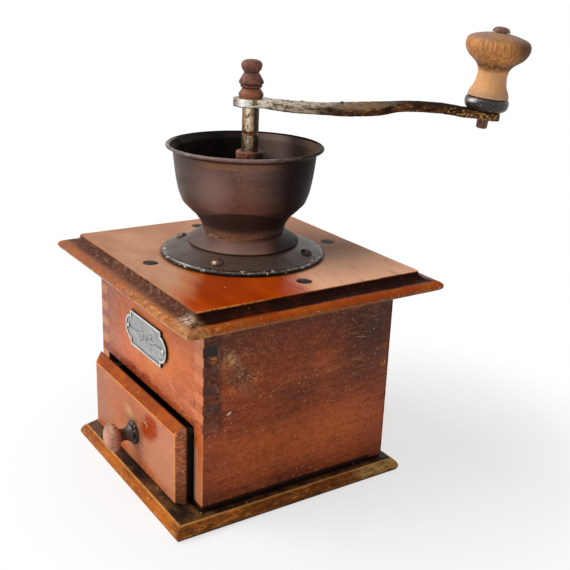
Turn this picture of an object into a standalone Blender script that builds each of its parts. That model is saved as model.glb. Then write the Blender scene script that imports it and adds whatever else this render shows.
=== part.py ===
"""Hand cranked coffee mill: a finger jointed box with a drawer, and an iron hopper and burrs above it.

Lengths are in metres. +Z is up, the drawer opens towards -Y, and the origin lies on the
underside of the base board, below the middle of the case.
"""
from math import atan2, cos, hypot, pi, radians, sin, sqrt, tan

import bmesh
import bpy
from mathutils import Matrix, Vector

# Fits between pieces
SEAT_GAP = 0.0003
DRAWER_GAP = 0.0006
CUT_OVERRUN = 0.0020
MERGE_DISTANCE = 0.00001

# Case of finger jointed boards
CASE_WIDTH = 0.1200
CASE_DEPTH = 0.1120
CASE_HEIGHT = 0.0980
BOARD_THICKNESS = 0.0082
PANEL_THICKNESS = 0.0080
FINGER_HEIGHT = 0.0049
OPENING_HEIGHT_SHARE = 0.42857

# Base board with a broad chamfer and a worn front left corner
BASE_THICKNESS = 0.0072
BASE_FRONT_OVERHANG = 0.0180
BASE_BACK_OVERHANG = 0.0062
BASE_LEFT_OVERHANG = 0.0052
BASE_RIGHT_OVERHANG = 0.0089
BASE_EDGE_LOW = 0.0018
BASE_EDGE_HIGH = 0.0032
BASE_CHAMFER_WIDTH = 0.0040
BASE_UNDERCUT = 0.0009
BASE_CORNER_WIDTH = 0.0112
BASE_CORNER_LENGTH = 0.0335
BASE_CHAMFER_SHARES = ((0.20, 0.42), (0.35, 0.35), (0.45, 0.23))
BASE_UNDERCUT_SHARES = ((1.00, 1.00),)

# Top board with a stepped and coved edge round a raised field
TOP_THICKNESS = 0.0100
TOP_OVERHANG = 0.0182
TOP_EDGE_LOW = 0.0024
TOP_EDGE_HIGH = 0.0038
TOP_MOULDING_WIDTH = 0.0098
TOP_UNDERCUT = 0.0030
TOP_MOULDING_SHARES = (
    (0.067, 0.113), (0.110, 0.105), (0.120, 0.065), (0.090, 0.012), (0.220, 0.030),
    (0.130, 0.070), (0.110, 0.120), (0.080, 0.145), (0.030, 0.020), (0.043, 0.320),
)
TOP_UNDERCUT_SHARES = ((0.10, 0.30), (0.23, 0.28), (0.67, 0.42))
THROAT_RADIUS = 0.0164

# Drawer with an overlaid bevelled front
DRAWER_REST_OPENING = 0.0042
FRONT_SIDE_MARGIN = 0.0075
FRONT_TOP_LAP = 0.0005
FRONT_LIFT = 0.0008
FRONT_EDGE = 0.0005
FRONT_BEVEL_WIDTH = 0.0038
FRONT_BEVEL_FOOT = 0.0004
FRONT_BEVEL_DEPTH = 0.0046
DRAWER_SIDE_ROOM = 0.0048
DRAWER_BACK_ROOM = 0.0094
DRAWER_HEADROOM = 0.0023
DRAWER_WALL = 0.0050
DRAWER_FLOOR = 0.0030
DRAWER_FLOOR_LIFT = 0.0020
DRAWER_GROOVE = 0.0020
RUNNER_HEIGHT = 0.0070

# Turned drawer knob on a rosette, held by a screw from inside
DRAWER_KNOB_OFFSET = 0.0015
DRAWER_KNOB_LIFT = 0.0174
DRAWER_KNOB_RADIUS = 0.0077
DRAWER_KNOB_LENGTH = 0.0139
DRAWER_KNOB_SHARES = (
    (0.42, 0.980), (0.76, 0.900), (0.96, 0.790), (1.00, 0.690), (0.90, 0.570),
    (0.62, 0.490), (0.43, 0.420), (0.38, 0.220), (0.43, 0.000),
)
ROSETTE_RADIUS = 0.0063
ROSETTE_THICKNESS = 0.0018
ROSETTE_SHARES = ((0.62, 1.00), (0.90, 0.72), (1.00, 0.40), (1.00, 0.00))
KNOB_SCREW_HEAD_RADIUS = 0.0034
KNOB_SCREW_HEAD_HEIGHT = 0.0018
KNOB_SCREW_RADIUS = 0.0012
KNOB_SCREW_LENGTH = 0.0130

# Name plate, left blank
BADGE_HALF_WIDTH = 0.0243
BADGE_HALF_BODY = 0.0180
BADGE_HALF_HEIGHT = 0.0098
BADGE_STEP = 0.0027
BADGE_THICKNESS = 0.0008
BADGE_RIM_WIDTH = 0.0012
BADGE_RIM_HEIGHT = 0.0005
BADGE_CENTRE_SHARE = 0.70918
BADGE_END_POINTS = 9
BADGE_PIN_RADIUS = 0.0006
BADGE_PIN_HEAD_RADIUS = 0.0013
BADGE_PIN_HEAD_HEIGHT = 0.0006
BADGE_PIN_LENGTH = 0.0050
BADGE_PIN_OFFSET = 0.0207

# Wood screws, with the places of the four top ones from the middle of their walls
SCREW_HEAD_RADIUS = 0.0040
SCREW_HEAD_HEIGHT = 0.0023
SCREW_SHANK_RADIUS = 0.0017
SCREW_EMBEDMENT = 0.0120
TOP_SCREW_FRONT = (-0.0043, 0.0002)
TOP_SCREW_RIGHT = (-0.0007, 0.0023)
TOP_SCREW_BACK = (0.0048, 0.0006)
TOP_SCREW_LEFT = (0.0007, 0.0030)
BASE_SCREW_HEAD_RADIUS = 0.0032
BASE_SCREW_HEAD_HEIGHT = 0.0019
BASE_SCREW_SHANK_RADIUS = 0.0015
BASE_SCREW_SPACING_SHARE = 0.67857

# Sheet iron hopper
SHEET = 0.0011
FLANGE_RADIUS = 0.0430
FLANGE_BEAD_RADIUS = 0.0007
FLANGE_RISE = 0.0062
FLANGE_SHARES = (
    (0.581, 1.000), (0.660, 0.855), (0.742, 0.645), (0.821, 0.435), (0.900, 0.240), (0.956, 0.110),
)
FLANGE_BEAD_SHARES = (0.50, 0.15, -0.18, -0.50)
COLLAR_RADIUS = 0.0296
COLLAR_NECK_RADIUS = 0.0222
COLLAR_EDGE = 0.0009
COLLAR_LIFT = 0.0070
COLLAR_RISE = 0.0054
COLLAR_BORE_RADIUS = 0.0188
COLLAR_CURVE_SHARES = ((0.00, 1.00), (0.30, 0.72), (0.70, 0.31), (1.00, 0.00))
BOWL_RIM_RADIUS = 0.0408
BOWL_HEIGHT = 0.0443
BOWL_BEAD_RADIUS = 0.0009
BOWL_BEAD_SHARES = (0.80, 0.50, 0.20, -0.10, -0.42)
BOWL_WALL_SHARES = (
    (0.946, 0.9750), (0.920, 0.9500), (0.909, 0.9300), (0.900, 0.8420), (0.885, 0.7250), (0.866, 0.6050),
    (0.839, 0.4850), (0.816, 0.4240), (0.789, 0.3630), (0.740, 0.3140), (0.689, 0.2640), (0.630, 0.2144),
    (0.591, 0.1637), (0.556, 0.1130), (0.536, 0.0600), (0.522, 0.0000),
)
HOPPER_SCREW_RADIUS = 0.0357
HOPPER_SCREW_AZIMUTH = radians(-52)
HOPPER_SCREWS = 4
ROUND_HEAD_RADIUS = 0.0031
ROUND_HEAD_HEIGHT = 0.0017
ROUND_SHANK_RADIUS = 0.0014
ROUND_SHANK_LENGTH = 0.0110
DOME_SHARES = ((0.38, 1.00), (0.74, 0.80), (0.95, 0.42), (1.00, 0.00))

# Spindle, and the axis that it turns about
AXIS_X = 0.0013
AXIS_Y = 0.0020
CRANK_AZIMUTH = radians(52)
SPINDLE_RADIUS = 0.00435
SPINDLE_LOWER_RADIUS = 0.0040
SPINDLE_EDGE = 0.0006
GROOVE_DEPTH = 0.0003
GROOVE_HEIGHT = 0.0018
GROOVE_DROP = 0.0140
CRANK_RISE = 0.0199
TANG_WIDTH = 0.0060
TANG_HEIGHT = 0.0041
STUD_RADIUS = 0.0024
STUD_LENGTH = 0.0120

# Finial nut on the stud
NUT_RADIUS = 0.0063
NUT_HEIGHT = 0.0190
NUT_BORE_DEPTH = 0.0100
NUT_SHARES = (
    (0.42, 0.985), (0.70, 0.945), (0.83, 0.885), (0.85, 0.834), (0.80, 0.770), (0.66, 0.690),
    (0.61, 0.656), (0.68, 0.610), (0.86, 0.512), (1.00, 0.417), (0.96, 0.370), (0.89, 0.335),
    (0.89, 0.307), (0.78, 0.265), (0.76, 0.245), (0.92, 0.150), (0.97, 0.110), (0.97, 0.050), (0.93, 0.000),
)

# Forged crank arm: shares of its length, bend, twist and width
ARM_LENGTH = 0.1170
ARM_THICKNESS = 0.0041
ARM_WIDTH = 0.0126
ARM_CHAMFER = 0.0005
ARM_NEAR_EYE_RADIUS = 0.0090
ARM_FAR_EYE_RADIUS = 0.0076
ARM_BEND = 0.0020
ARM_TWIST = radians(8.5)
ARM_STATION_SHARES = (
    (0.077, -0.17, 0.00, 0.98), (0.137, -0.50, 0.20, 0.96), (0.214, -0.69, 0.45, 0.97),
    (0.300, -0.75, 0.45, 0.99), (0.342, -0.72, 0.50, 1.00), (0.380, -0.66, 0.90, 1.03),
    (0.427, -0.55, 1.00, 1.04), (0.500, -0.27, 1.00, 1.04), (0.556, 0.00, 1.00, 1.02),
    (0.590, 0.30, 0.60, 1.00), (0.624, 0.67, 0.10, 0.98), (0.665, 0.90, 0.00, 0.96),
    (0.726, 1.00, 0.00, 0.94), (0.775, 0.95, 0.00, 0.93), (0.820, 0.85, 0.00, 0.92),
    (0.870, 0.52, 0.00, 0.93), (0.906, 0.20, 0.00, 0.95),
)
ARM_NEAR_EYE_SHARES = (-0.975, -0.87, -0.64, -0.28, 0.10, 0.45, 0.71)
ARM_FAR_EYE_SHARES = (-0.65, -0.30, 0.10, 0.45, 0.72, 0.90, 0.98)
ARM_FAR_BEND_SHARE = -0.15

# Turned crank knob that spins on a leaning rivet
KNOB_LEAN = radians(5.7)
FERRULE_RADIUS = 0.0109
FERRULE_HEIGHT = 0.0061
FERRULE_FLOOR = 0.0016
FERRULE_CUP_RADIUS = 0.0088
FERRULE_SHARES = (
    (0.90, 1.000), (0.97, 0.930), (1.00, 0.850), (1.00, 0.364), (0.94, 0.170), (0.845, 0.045), (0.80, 0.000),
)
GRIP_RADIUS = 0.0158
GRIP_HEIGHT = 0.0308
GRIP_SHARES = (
    (0.267, 1.000), (0.490, 0.982), (0.671, 0.960), (0.820, 0.936), (0.932, 0.902), (0.991, 0.847),
    (1.000, 0.770), (0.938, 0.687), (0.845, 0.623), (0.720, 0.571), (0.584, 0.515), (0.497, 0.448),
    (0.466, 0.387), (0.466, 0.304), (0.509, 0.187), (0.609, 0.080), (0.640, 0.018), (0.640, 0.000),
)
KNOB_PIN_RADIUS = 0.0028
KNOB_PIN_TAIL = 0.0048
RIVET_HEAD_RADIUS = 0.0043
RIVET_HEAD_HEIGHT = 0.0026

# Bridge and bush that steady the spindle in the bowl
BRIDGE_AZIMUTH = radians(-34.1)
BRIDGE_WIDTH = 0.0078
BRIDGE_THICKNESS = 0.0020
BRIDGE_DROP = 0.0063
BRIDGE_RISE = 0.0067
BRIDGE_FOOT_HEIGHT = 0.0080
BRIDGE_SHOULDER = 0.0060
BRIDGE_SHOULDER_SHARES = ((0.00, 0.30), (0.08, 0.62), (0.35, 0.90), (0.75, 1.00))
BRIDGE_HUB_RADIUS = 0.0070
BUSH_RADIUS = 0.0071
BUSH_HEIGHT = 0.0035
BUSH_EDGE = 0.0008
BUSH_SLEEVE_RADIUS = 0.0056
BUSH_SLEEVE_LENGTH = 0.0034

# Toothed ring under the top board
HOUSING_HEIGHT_SHARE = 0.26531
HOUSING_OUTER_RADIUS = 0.0190
HOUSING_FLANGE_RADIUS = 0.0290
HOUSING_FLANGE_THICKNESS = 0.0035
HOUSING_TEETH = 18
HOUSING_TOOTH_DEPTH = 0.0010
HOUSING_TWIST = radians(-14)
HOUSING_BORE_SHARES = ((1.00, 0.865), (0.72, 0.800), (0.38, 0.715), (0.26, 0.715), (0.00, 0.800))
HOUSING_BOSS_RADIUS = 0.0042
HOUSING_BOSS_OFFSET = 0.0265
HOUSING_SCREW_OFFSET = 0.0180
PAN_HEAD_RADIUS = 0.0030
PAN_HEAD_HEIGHT = 0.0016
PAN_SHANK_RADIUS = 0.0014
PAN_SHANK_LENGTH = 0.0098

# Toothed cone on the spindle
CONE_TEETH = 13
CONE_TOOTH_DEPTH = 0.0011
CONE_TWIST = radians(42)
CONE_TOP_RADIUS = 0.0060
CONE_HEIGHT_SHARE = 0.90385
CONE_DROP = 0.0005
GRINDING_GAP = 0.0011
CONE_SHARES = ((1.00, 0.00), (0.82, 0.30), (0.60, 0.58), (0.38, 0.80), (0.20, 0.90), (0.00, 1.00))
CONE_HUB_RADIUS = 0.0080
CONE_HUB_HEIGHT = 0.0045
CONE_PIN_RADIUS = 0.0009

# Stirrup under the burrs, with the captive adjusting wheel and the thrust screw
STIRRUP_DEPTH = 0.0110
STIRRUP_LEG = 0.0040
STIRRUP_EAR = 0.0032
STIRRUP_REACH = 0.0310
STIRRUP_HALF_WIDTH = 0.0220
STIRRUP_DROP_SHARE = 0.16327
STIRRUP_BAR = 0.0035
STIRRUP_WINDOW = 0.0056
STIRRUP_KEEPER = 0.0025
STIRRUP_BOSS_RADIUS = 0.0078
STIRRUP_BOSS_HEIGHT = 0.0050
BOLT_RADIUS = 0.0020
BOLT_HEAD_RADIUS = 0.0037
BOLT_HEAD_HEIGHT = 0.0026
BOLT_LENGTH = 0.0120
THRUST_SCREW_RADIUS = 0.0036
THRUST_TAIL_WIDTH = 0.0042
THRUST_TAIL_LENGTH = 0.0055
WHEEL_RADIUS = 0.0125
WHEEL_NOTCHES = 16
WHEEL_NOTCH_DEPTH = 0.0009
WHEEL_NOTCH_SHARES = (0.00, 0.50, 0.62, 0.88)

# Facets
HOPPER_FACETS = 32
TURNED_FACETS = 20
ROUND_FACETS = 16
BOLT_FACETS = 12
SMALL_FACETS = 8
SHARP_ANGLE = radians(32)

# Heights and planes that follow from the sizes above
WALL_LOW = BASE_THICKNESS + SEAT_GAP
WALL_TOP = WALL_LOW + CASE_HEIGHT
TOP_LOW = WALL_TOP + SEAT_GAP
FIELD_HEIGHT = TOP_LOW + TOP_THICKNESS
OPENING_TOP = WALL_LOW + CASE_HEIGHT * OPENING_HEIGHT_SHARE
SIDE_X = CASE_WIDTH / 2
FRONT_Y = -CASE_DEPTH / 2
BACK_Y = CASE_DEPTH / 2
INNER_X = SIDE_X - BOARD_THICKNESS
INNER_FRONT_Y = FRONT_Y + PANEL_THICKNESS
INNER_BACK_Y = BACK_Y - PANEL_THICKNESS
FLANGE_LOW = FIELD_HEIGHT + SEAT_GAP
COLLAR_LOW = FIELD_HEIGHT + COLLAR_LIFT
COLLAR_TOP = COLLAR_LOW + COLLAR_RISE
BOWL_FOOT = COLLAR_TOP + SEAT_GAP
RIM_HEIGHT = BOWL_FOOT + BOWL_HEIGHT
BRIDGE_TOP = RIM_HEIGHT - BRIDGE_DROP
BRIDGE_FOOT_HIGH = BRIDGE_TOP - BRIDGE_RISE
BRIDGE_FOOT_LOW = BRIDGE_FOOT_HIGH - BRIDGE_FOOT_HEIGHT
CRANK_SEAT_HEIGHT = RIM_HEIGHT + CRANK_RISE
ARM_LOW = CRANK_SEAT_HEIGHT + SEAT_GAP
ARM_TOP = ARM_LOW + ARM_THICKNESS
NUT_LOW = ARM_TOP + SEAT_GAP
HOUSING_TOP = TOP_LOW - SEAT_GAP
HOUSING_HEIGHT = CASE_HEIGHT * HOUSING_HEIGHT_SHARE
HOUSING_LOW = HOUSING_TOP - HOUSING_HEIGHT
CONE_HEIGHT = HOUSING_HEIGHT * CONE_HEIGHT_SHARE
CONE_LOW = HOUSING_LOW - CONE_DROP
CONE_TOP = CONE_LOW + CONE_HEIGHT
HUB_LOW = CONE_LOW - CONE_HUB_HEIGHT
EAR_TOP = HOUSING_LOW - SEAT_GAP
EAR_LOW = EAR_TOP - STIRRUP_EAR
BAR_TOP = EAR_TOP - CASE_HEIGHT * STIRRUP_DROP_SHARE
BAR_LOW = BAR_TOP - STIRRUP_BAR
KEEPER_TOP = BAR_LOW - STIRRUP_WINDOW
KEEPER_LOW = KEEPER_TOP - STIRRUP_KEEPER
SPINDLE_LOW = BAR_TOP + STIRRUP_BOSS_HEIGHT / 2
THRUST_TOP = SPINDLE_LOW - SEAT_GAP
THRUST_LOW = KEEPER_TOP + SEAT_GAP
THRUST_TAIL_LOW = KEEPER_LOW - THRUST_TAIL_LENGTH
BUSH_LOW = BRIDGE_TOP + SEAT_GAP
BADGE_HEIGHT = WALL_LOW + CASE_HEIGHT * BADGE_CENTRE_SHARE
BADGE_FACE_Y = FRONT_Y - SEAT_GAP - BADGE_THICKNESS
DRAWER_LOW = BASE_THICKNESS + DRAWER_GAP
DRAWER_TOP = THRUST_TAIL_LOW - DRAWER_HEADROOM
DRAWER_HALF_WIDTH = INNER_X - DRAWER_SIDE_ROOM
DRAWER_FRONT_BACK_Y = FRONT_Y - DRAWER_REST_OPENING
DRAWER_FACE_Y = DRAWER_FRONT_BACK_Y - FRONT_EDGE - FRONT_BEVEL_DEPTH
DRAWER_BOX_FRONT_Y = DRAWER_FRONT_BACK_Y + SEAT_GAP
DRAWER_BOX_BACK_Y = INNER_BACK_Y - DRAWER_BACK_ROOM
DRAWER_DEPTH = DRAWER_BOX_BACK_Y - DRAWER_BOX_FRONT_Y
DRAWER_FRONT_LOW = BASE_THICKNESS + FRONT_LIFT


def clear_scene():
    """Remove every object that the file opens with."""
    for obj in list(bpy.data.objects):
        bpy.data.objects.remove(obj, do_unlink=True)


def collection(name):
    """A new collection in the scene."""
    group = bpy.data.collections.new(name)
    bpy.context.scene.collection.children.link(group)
    return group


clear_scene()
PARTS = collection("coffee_mill")
CUTTERS = collection("cutters")


def material(name, colour, roughness, metallic=0.0):
    """A Principled material of one colour."""
    mat = bpy.data.materials.new(name)
    mat.use_nodes = True
    shader = mat.node_tree.nodes["Principled BSDF"]
    shader.inputs["Base Color"].default_value = (*colour, 1.0)
    shader.inputs["Roughness"].default_value = roughness
    shader.inputs["Metallic"].default_value = metallic
    mat.diffuse_color = (*colour, 1.0)
    return mat


def red_wood(name):
    return material(name, (0.36, 0.13, 0.06), 0.45)


def orange_wood(name):
    return material(name, (0.50, 0.22, 0.09), 0.40)


def drawer_wood(name):
    return material(name, (0.45, 0.27, 0.13), 0.60)


def knob_wood(name):
    return material(name, (0.60, 0.42, 0.26), 0.50)


def brown_iron(name):
    return material(name, (0.10, 0.065, 0.055), 0.42, 0.8)


def black_iron(name):
    return material(name, (0.04, 0.035, 0.03), 0.40, 0.6)


def rusty_iron(name):
    return material(name, (0.26, 0.12, 0.07), 0.60, 0.5)


def worn_steel(name):
    return material(name, (0.38, 0.33, 0.25), 0.38, 0.9)


def pewter(name):
    return material(name, (0.30, 0.30, 0.29), 0.45, 0.7)


def place(obj, finish, parent=None, location=(0, 0, 0), rotation=(0, 0, 0)):
    """Link a piece, and give it its own material and its place."""
    PARTS.objects.link(obj)
    obj.location = location
    obj.rotation_euler = rotation
    obj.parent = parent
    obj.data.materials.clear()
    obj.data.materials.append(finish(obj.name))
    return obj


def pivot(name, location, rotation=(0, 0, 0), parent=None):
    """An empty on a joint's axis, which carries the pieces that move about it."""
    empty = bpy.data.objects.new(name, None)
    empty.empty_display_size = SPINDLE_RADIUS
    PARTS.objects.link(empty)
    empty.location = location
    empty.rotation_euler = rotation
    empty.parent = parent
    return empty


def mesh_object(name, bm):
    """Turn a bmesh into an object with smooth faces and sharp corners."""
    bmesh.ops.recalc_face_normals(bm, faces=bm.faces)
    mesh = bpy.data.meshes.new(name)
    bm.to_mesh(mesh)
    bm.free()
    mesh.shade_smooth()
    mesh.set_sharp_from_angle(angle=SHARP_ANGLE)
    return bpy.data.objects.new(name, mesh)


def block(name, low, high):
    """A box between two corners."""
    bm = bmesh.new()
    size = Vector(high) - Vector(low)
    middle = (Vector(high) + Vector(low)) / 2
    bmesh.ops.create_cube(bm, size=1, matrix=Matrix.Translation(middle) @ Matrix.Diagonal((*size, 1)))
    return mesh_object(name, bm)


def rod(name, radius, start, end, facets=SMALL_FACETS):
    """A closed round bar between two points."""
    bm = bmesh.new()
    start, end = Vector(start), Vector(end)
    along = end - start
    turn = Vector((0, 0, 1)).rotation_difference(along).to_matrix().to_4x4()
    bmesh.ops.create_cone(
        bm, cap_ends=True, cap_tris=False, segments=facets, radius1=radius, radius2=radius,
        depth=along.length, matrix=Matrix.Translation((start + end) / 2) @ turn)
    return mesh_object(name, bm)


def combine(obj, other, operation, parent=None):
    """Cut a piece by another shape, or join the two. The other shape goes among the cutters."""
    CUTTERS.objects.link(other)
    other.parent = parent
    other.display_type = "WIRE"
    other.hide_render = True
    change = obj.modifiers.new(other.name, "BOOLEAN")
    change.operation = operation
    change.object = other
    change.solver = "EXACT"


def cut(obj, other, parent=None):
    combine(obj, other, "DIFFERENCE", parent)


def unite(obj, other, parent=None):
    combine(obj, other, "UNION", parent)


def applied(obj):
    """The evaluated mesh of an object as a welded bmesh. The object itself is removed."""
    bpy.context.scene.collection.objects.link(obj)
    view = bpy.context.evaluated_depsgraph_get()
    mesh = bpy.data.meshes.new_from_object(obj.evaluated_get(view))
    bpy.data.objects.remove(obj, do_unlink=True)
    bm = bmesh.new()
    bm.from_mesh(mesh)
    bmesh.ops.remove_doubles(bm, verts=bm.verts, dist=MERGE_DISTANCE)
    bpy.data.meshes.remove(mesh)
    return bm


def turned(name, profile, closed=False, facets=TURNED_FACETS):
    """A solid of revolution about Z. The profile holds (radius, height) points, outer side downwards."""
    mesh = bpy.data.meshes.new(name)
    edges = [(i, i + 1) for i in range(len(profile) - 1)]
    if closed:
        edges.append((len(profile) - 1, 0))
    mesh.from_pydata([(r, 0, z) for r, z in profile], edges, [])
    obj = bpy.data.objects.new(name, mesh)
    screw = obj.modifiers.new("turn", "SCREW")
    screw.axis = "Z"
    screw.steps = facets
    screw.render_steps = facets
    screw.use_merge_vertices = True
    screw.merge_threshold = MERGE_DISTANCE
    screw.use_smooth_shade = True
    return obj


def turned_mesh(name, profile, closed=False, facets=TURNED_FACETS):
    """A solid of revolution as a plain mesh, for pieces that are cut or joined."""
    return mesh_object(name, applied(turned(name, profile, closed, facets)))


def flat_piece(name, outlines, thickness, axes):
    """A flat plate from closed outlines, the first one outside. The axes place it in space."""
    curve = bpy.data.curves.new(name, "CURVE")
    curve.dimensions = "2D"
    curve.fill_mode = "BOTH"
    curve.extrude = thickness / 2
    for outline in outlines:
        spline = curve.splines.new("POLY")
        spline.points.add(len(outline) - 1)
        for point, (x, y) in zip(spline.points, outline):
            point.co = (x, y, 0, 1)
        spline.use_cyclic_u = True
    bm = applied(bpy.data.objects.new(name, curve))
    bmesh.ops.transform(bm, matrix=axes, verts=bm.verts)
    return mesh_object(name, bm)


def facing_front(middle, x=0, z=0):
    """Axes of an outline drawn in X and Z, with its thickness along Y."""
    return Matrix(((1, 0, 0, x), (0, 0, -1, middle), (0, 1, 0, z), (0, 0, 0, 1)))


def facing_side(middle):
    """Axes of an outline drawn in Y and Z, with its thickness along X."""
    return Matrix(((0, 0, 1, middle), (1, 0, 0, 0), (0, 1, 0, 0), (0, 0, 0, 1)))


def offset_path(points, distance):
    """A (radius, height) path moved to its right-hand side, seen along its direction."""
    moved = []
    for i, (r, z) in enumerate(points):
        r0, z0 = points[max(i - 1, 0)]
        r1, z1 = points[min(i + 1, len(points) - 1)]
        length = hypot(r1 - r0, z1 - z0)
        moved.append((r + (z1 - z0) / length * distance, z - (r1 - r0) / length * distance))
    return moved


def coarser(points):
    """Every second point of a path, and its last one."""
    return points[:-1:2] + points[-1:]


def read_path(points, value, known, wanted):
    """The wanted coordinate of a path where its known coordinate has a value."""
    for a, b in zip(points, points[1:]):
        low, high = sorted((a[known], b[known]))
        if low <= value <= high:
            share = (value - a[known]) / (b[known] - a[known])
            return a[wanted] + share * (b[wanted] - a[wanted])
    return points[-1][wanted]


def scaled(shares, width, height, foot):
    """Points of a profile from shares of a width and a height above a foot."""
    return [(width * w, foot + height * h) for w, h in shares]


def polar(radius, angle):
    return radius * cos(angle), radius * sin(angle)


def ring(radius, height, facets, phase=0.0, other=None):
    """Points round Z at one height. Every second one may have another radius, which makes teeth."""
    radii = (radius, radius if other is None else other)
    return [(*polar(radii[i % 2], phase + 2 * pi * i / facets), height) for i in range(facets)]


def loft(bm, rings, closed=False):
    """Bridge rings of equal length, in order. A closed loft ends where it starts, others get caps."""
    rows = [[bm.verts.new(point) for point in points] for points in rings]
    pairs = list(zip(rows, rows[1:]))
    if closed:
        pairs.append((rows[-1], rows[0]))
    for first, second in pairs:
        for i, j in zip(range(len(first)), [*range(1, len(first)), 0]):
            bm.faces.new((first[i], first[j], second[j], second[i]))
    if not closed:
        bm.faces.new(rows[0])
        bm.faces.new(rows[-1])


def fastener(name, spot, direction, rows, facets=SMALL_FACETS):
    """A screw, pin or bolt. Its rows hold the radius at corners and flats, and the depth."""
    turn = Vector((0, 0, 1)).rotation_difference(Vector(direction)).to_matrix()
    rings = [ring(corner, depth, facets, 0.0, flat) for corner, flat, depth in rows]
    bm = bmesh.new()
    loft(bm, [[Vector(spot) + turn @ Vector(point) for point in points] for points in rings])
    return mesh_object(name, bm)


def countersunk(head, height, shank, length):
    """Rows of a countersunk screw."""
    return [(head, head, 0), (shank, shank, height), (shank, shank, length)]


def countersink(head, height, shank, length):
    """Rows of the hole for a countersunk screw, with clearance all round."""
    wide, narrow = head + SEAT_GAP, shank + SEAT_GAP
    return [(wide, wide, -CUT_OVERRUN), (wide, wide, SEAT_GAP), (narrow, narrow, height + SEAT_GAP),
            (narrow, narrow, length)]


def domed(head, height, shank, length):
    """Rows of a round headed screw or pin."""
    rows = [(head * w, head * w, -height * h) for w, h in DOME_SHARES]
    return rows + [(shank, shank, 0), (shank, shank, length)]


def hexagonal(head, height, shank, length):
    """Rows of a hexagon headed bolt."""
    flat = head * cos(pi / 6)
    return [(head, flat, -height), (head, flat, 0), (shank, shank, 0), (shank, shank, length)]


def drill(obj, name, spot, direction, radius, length, parent=None, facets=SMALL_FACETS):
    """Cut a round hole that starts above a spot and clears a shank."""
    start = Vector(spot) - Vector(direction) * CUT_OVERRUN
    end = Vector(spot) + Vector(direction) * (length + SEAT_GAP)
    cut(obj, rod(name, radius + SEAT_GAP, start, end, facets), parent)


def moulded_board(name, outline, low, edge_low, edge_high, below, above):
    """A board with a square edge band between two heights, and moulded steps below and above it."""
    bm = bmesh.new()
    face = bm.faces.new([bm.verts.new((x, y, low + edge_low)) for x, y in outline])
    grown = bmesh.ops.extrude_face_region(bm, geom=[face], use_keep_orig=True)
    raised = [item for item in grown["geom"] if isinstance(item, bmesh.types.BMVert)]
    bmesh.ops.translate(bm, verts=raised, vec=(0, 0, edge_high - edge_low))
    bmesh.ops.recalc_face_normals(bm, faces=bm.faces)
    upper = max(bm.faces, key=lambda f: f.calc_center_median().z)
    lower = min(bm.faces, key=lambda f: f.calc_center_median().z)
    for face, moulding in ((upper, above), (lower, below)):
        for inward, rise in moulding:
            bmesh.ops.inset_individual(bm, faces=[face], thickness=inward, depth=rise, use_even_offset=True)
    return mesh_object(name, bm)


def steps(shares, width, height):
    """Moulding steps from shares of a width and a height."""
    return [(width * w, height * h) for w, h in shares]


def finger_spans(low):
    """Heights of the panels' fingers, with a side board's finger above each of them."""
    spans = []
    start = low
    while start + FINGER_HEIGHT < WALL_TOP:
        spans.append((start, start + FINGER_HEIGHT))
        start += 2 * FINGER_HEIGHT
    return spans


def notched_edge(low, edge, depth):
    """Points up one edge of a side board, notched where a panel's fingers pass through it."""
    points = []
    for start, end in finger_spans(low):
        foot = max(start - SEAT_GAP / 2, WALL_LOW)
        points += [(edge, foot), (depth, foot), (depth, end + SEAT_GAP / 2), (edge, end + SEAT_GAP / 2)]
    if low > WALL_LOW:
        points.insert(0, (edge, WALL_LOW))
    else:
        points.pop(0)
    return points + [(edge, WALL_TOP)]


def side_board(name, side):
    """A side board with notches in both upright edges."""
    front = notched_edge(OPENING_TOP, FRONT_Y, INNER_FRONT_Y + SEAT_GAP)
    back = notched_edge(WALL_LOW, BACK_Y, INNER_BACK_Y - SEAT_GAP)
    middle = side * (SIDE_X - BOARD_THICKNESS / 2)
    return place(flat_piece(name, [front + back[::-1]], BOARD_THICKNESS, facing_side(middle)), red_wood)


def panel(name, low, middle):
    """A front or back panel whose fingers reach the outer faces of the side boards."""
    inner = INNER_X - SEAT_GAP
    right = []
    for start, end in finger_spans(low):
        foot = start if start == low else start + SEAT_GAP / 2
        right += [(inner, foot), (SIDE_X, foot), (SIDE_X, end - SEAT_GAP / 2), (inner, end - SEAT_GAP / 2)]
    right = [(-CUT_OVERRUN, low)] + right[1:] + [(inner, WALL_TOP), (-CUT_OVERRUN, WALL_TOP)]
    board = flat_piece(name, [right], PANEL_THICKNESS, facing_front(middle))
    mirror = board.modifiers.new("other_half", "MIRROR")
    mirror.use_bisect_axis[0] = True
    mirror.merge_threshold = MERGE_DISTANCE
    return place(board, red_wood)


def drawer_runner(name, side):
    """A strip glued inside a side board, beside the drawer."""
    near, far = sorted((side * (DRAWER_HALF_WIDTH + DRAWER_GAP), side * (INNER_X - SEAT_GAP)))
    low = (near, INNER_FRONT_Y, WALL_LOW)
    high = (far, INNER_BACK_Y - SEAT_GAP, WALL_LOW + RUNNER_HEIGHT)
    return place(block(name, low, high), red_wood)


def base_board():
    """The base, wider at the front, with its front left corner worn away."""
    front = FRONT_Y - BASE_FRONT_OVERHANG
    back = BACK_Y + BASE_BACK_OVERHANG
    left = -SIDE_X - BASE_LEFT_OVERHANG
    right = SIDE_X + BASE_RIGHT_OVERHANG
    outline = [(left + BASE_CORNER_WIDTH, front), (right, front), (right, back), (left, back),
               (left, front + BASE_CORNER_LENGTH)]
    below = steps(BASE_UNDERCUT_SHARES, BASE_UNDERCUT, BASE_EDGE_LOW)
    above = steps(BASE_CHAMFER_SHARES, BASE_CHAMFER_WIDTH, BASE_THICKNESS - BASE_EDGE_HIGH)
    board = moulded_board("base_board", outline, 0, BASE_EDGE_LOW, BASE_EDGE_HIGH, below, above)
    return place(board, orange_wood)


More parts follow.
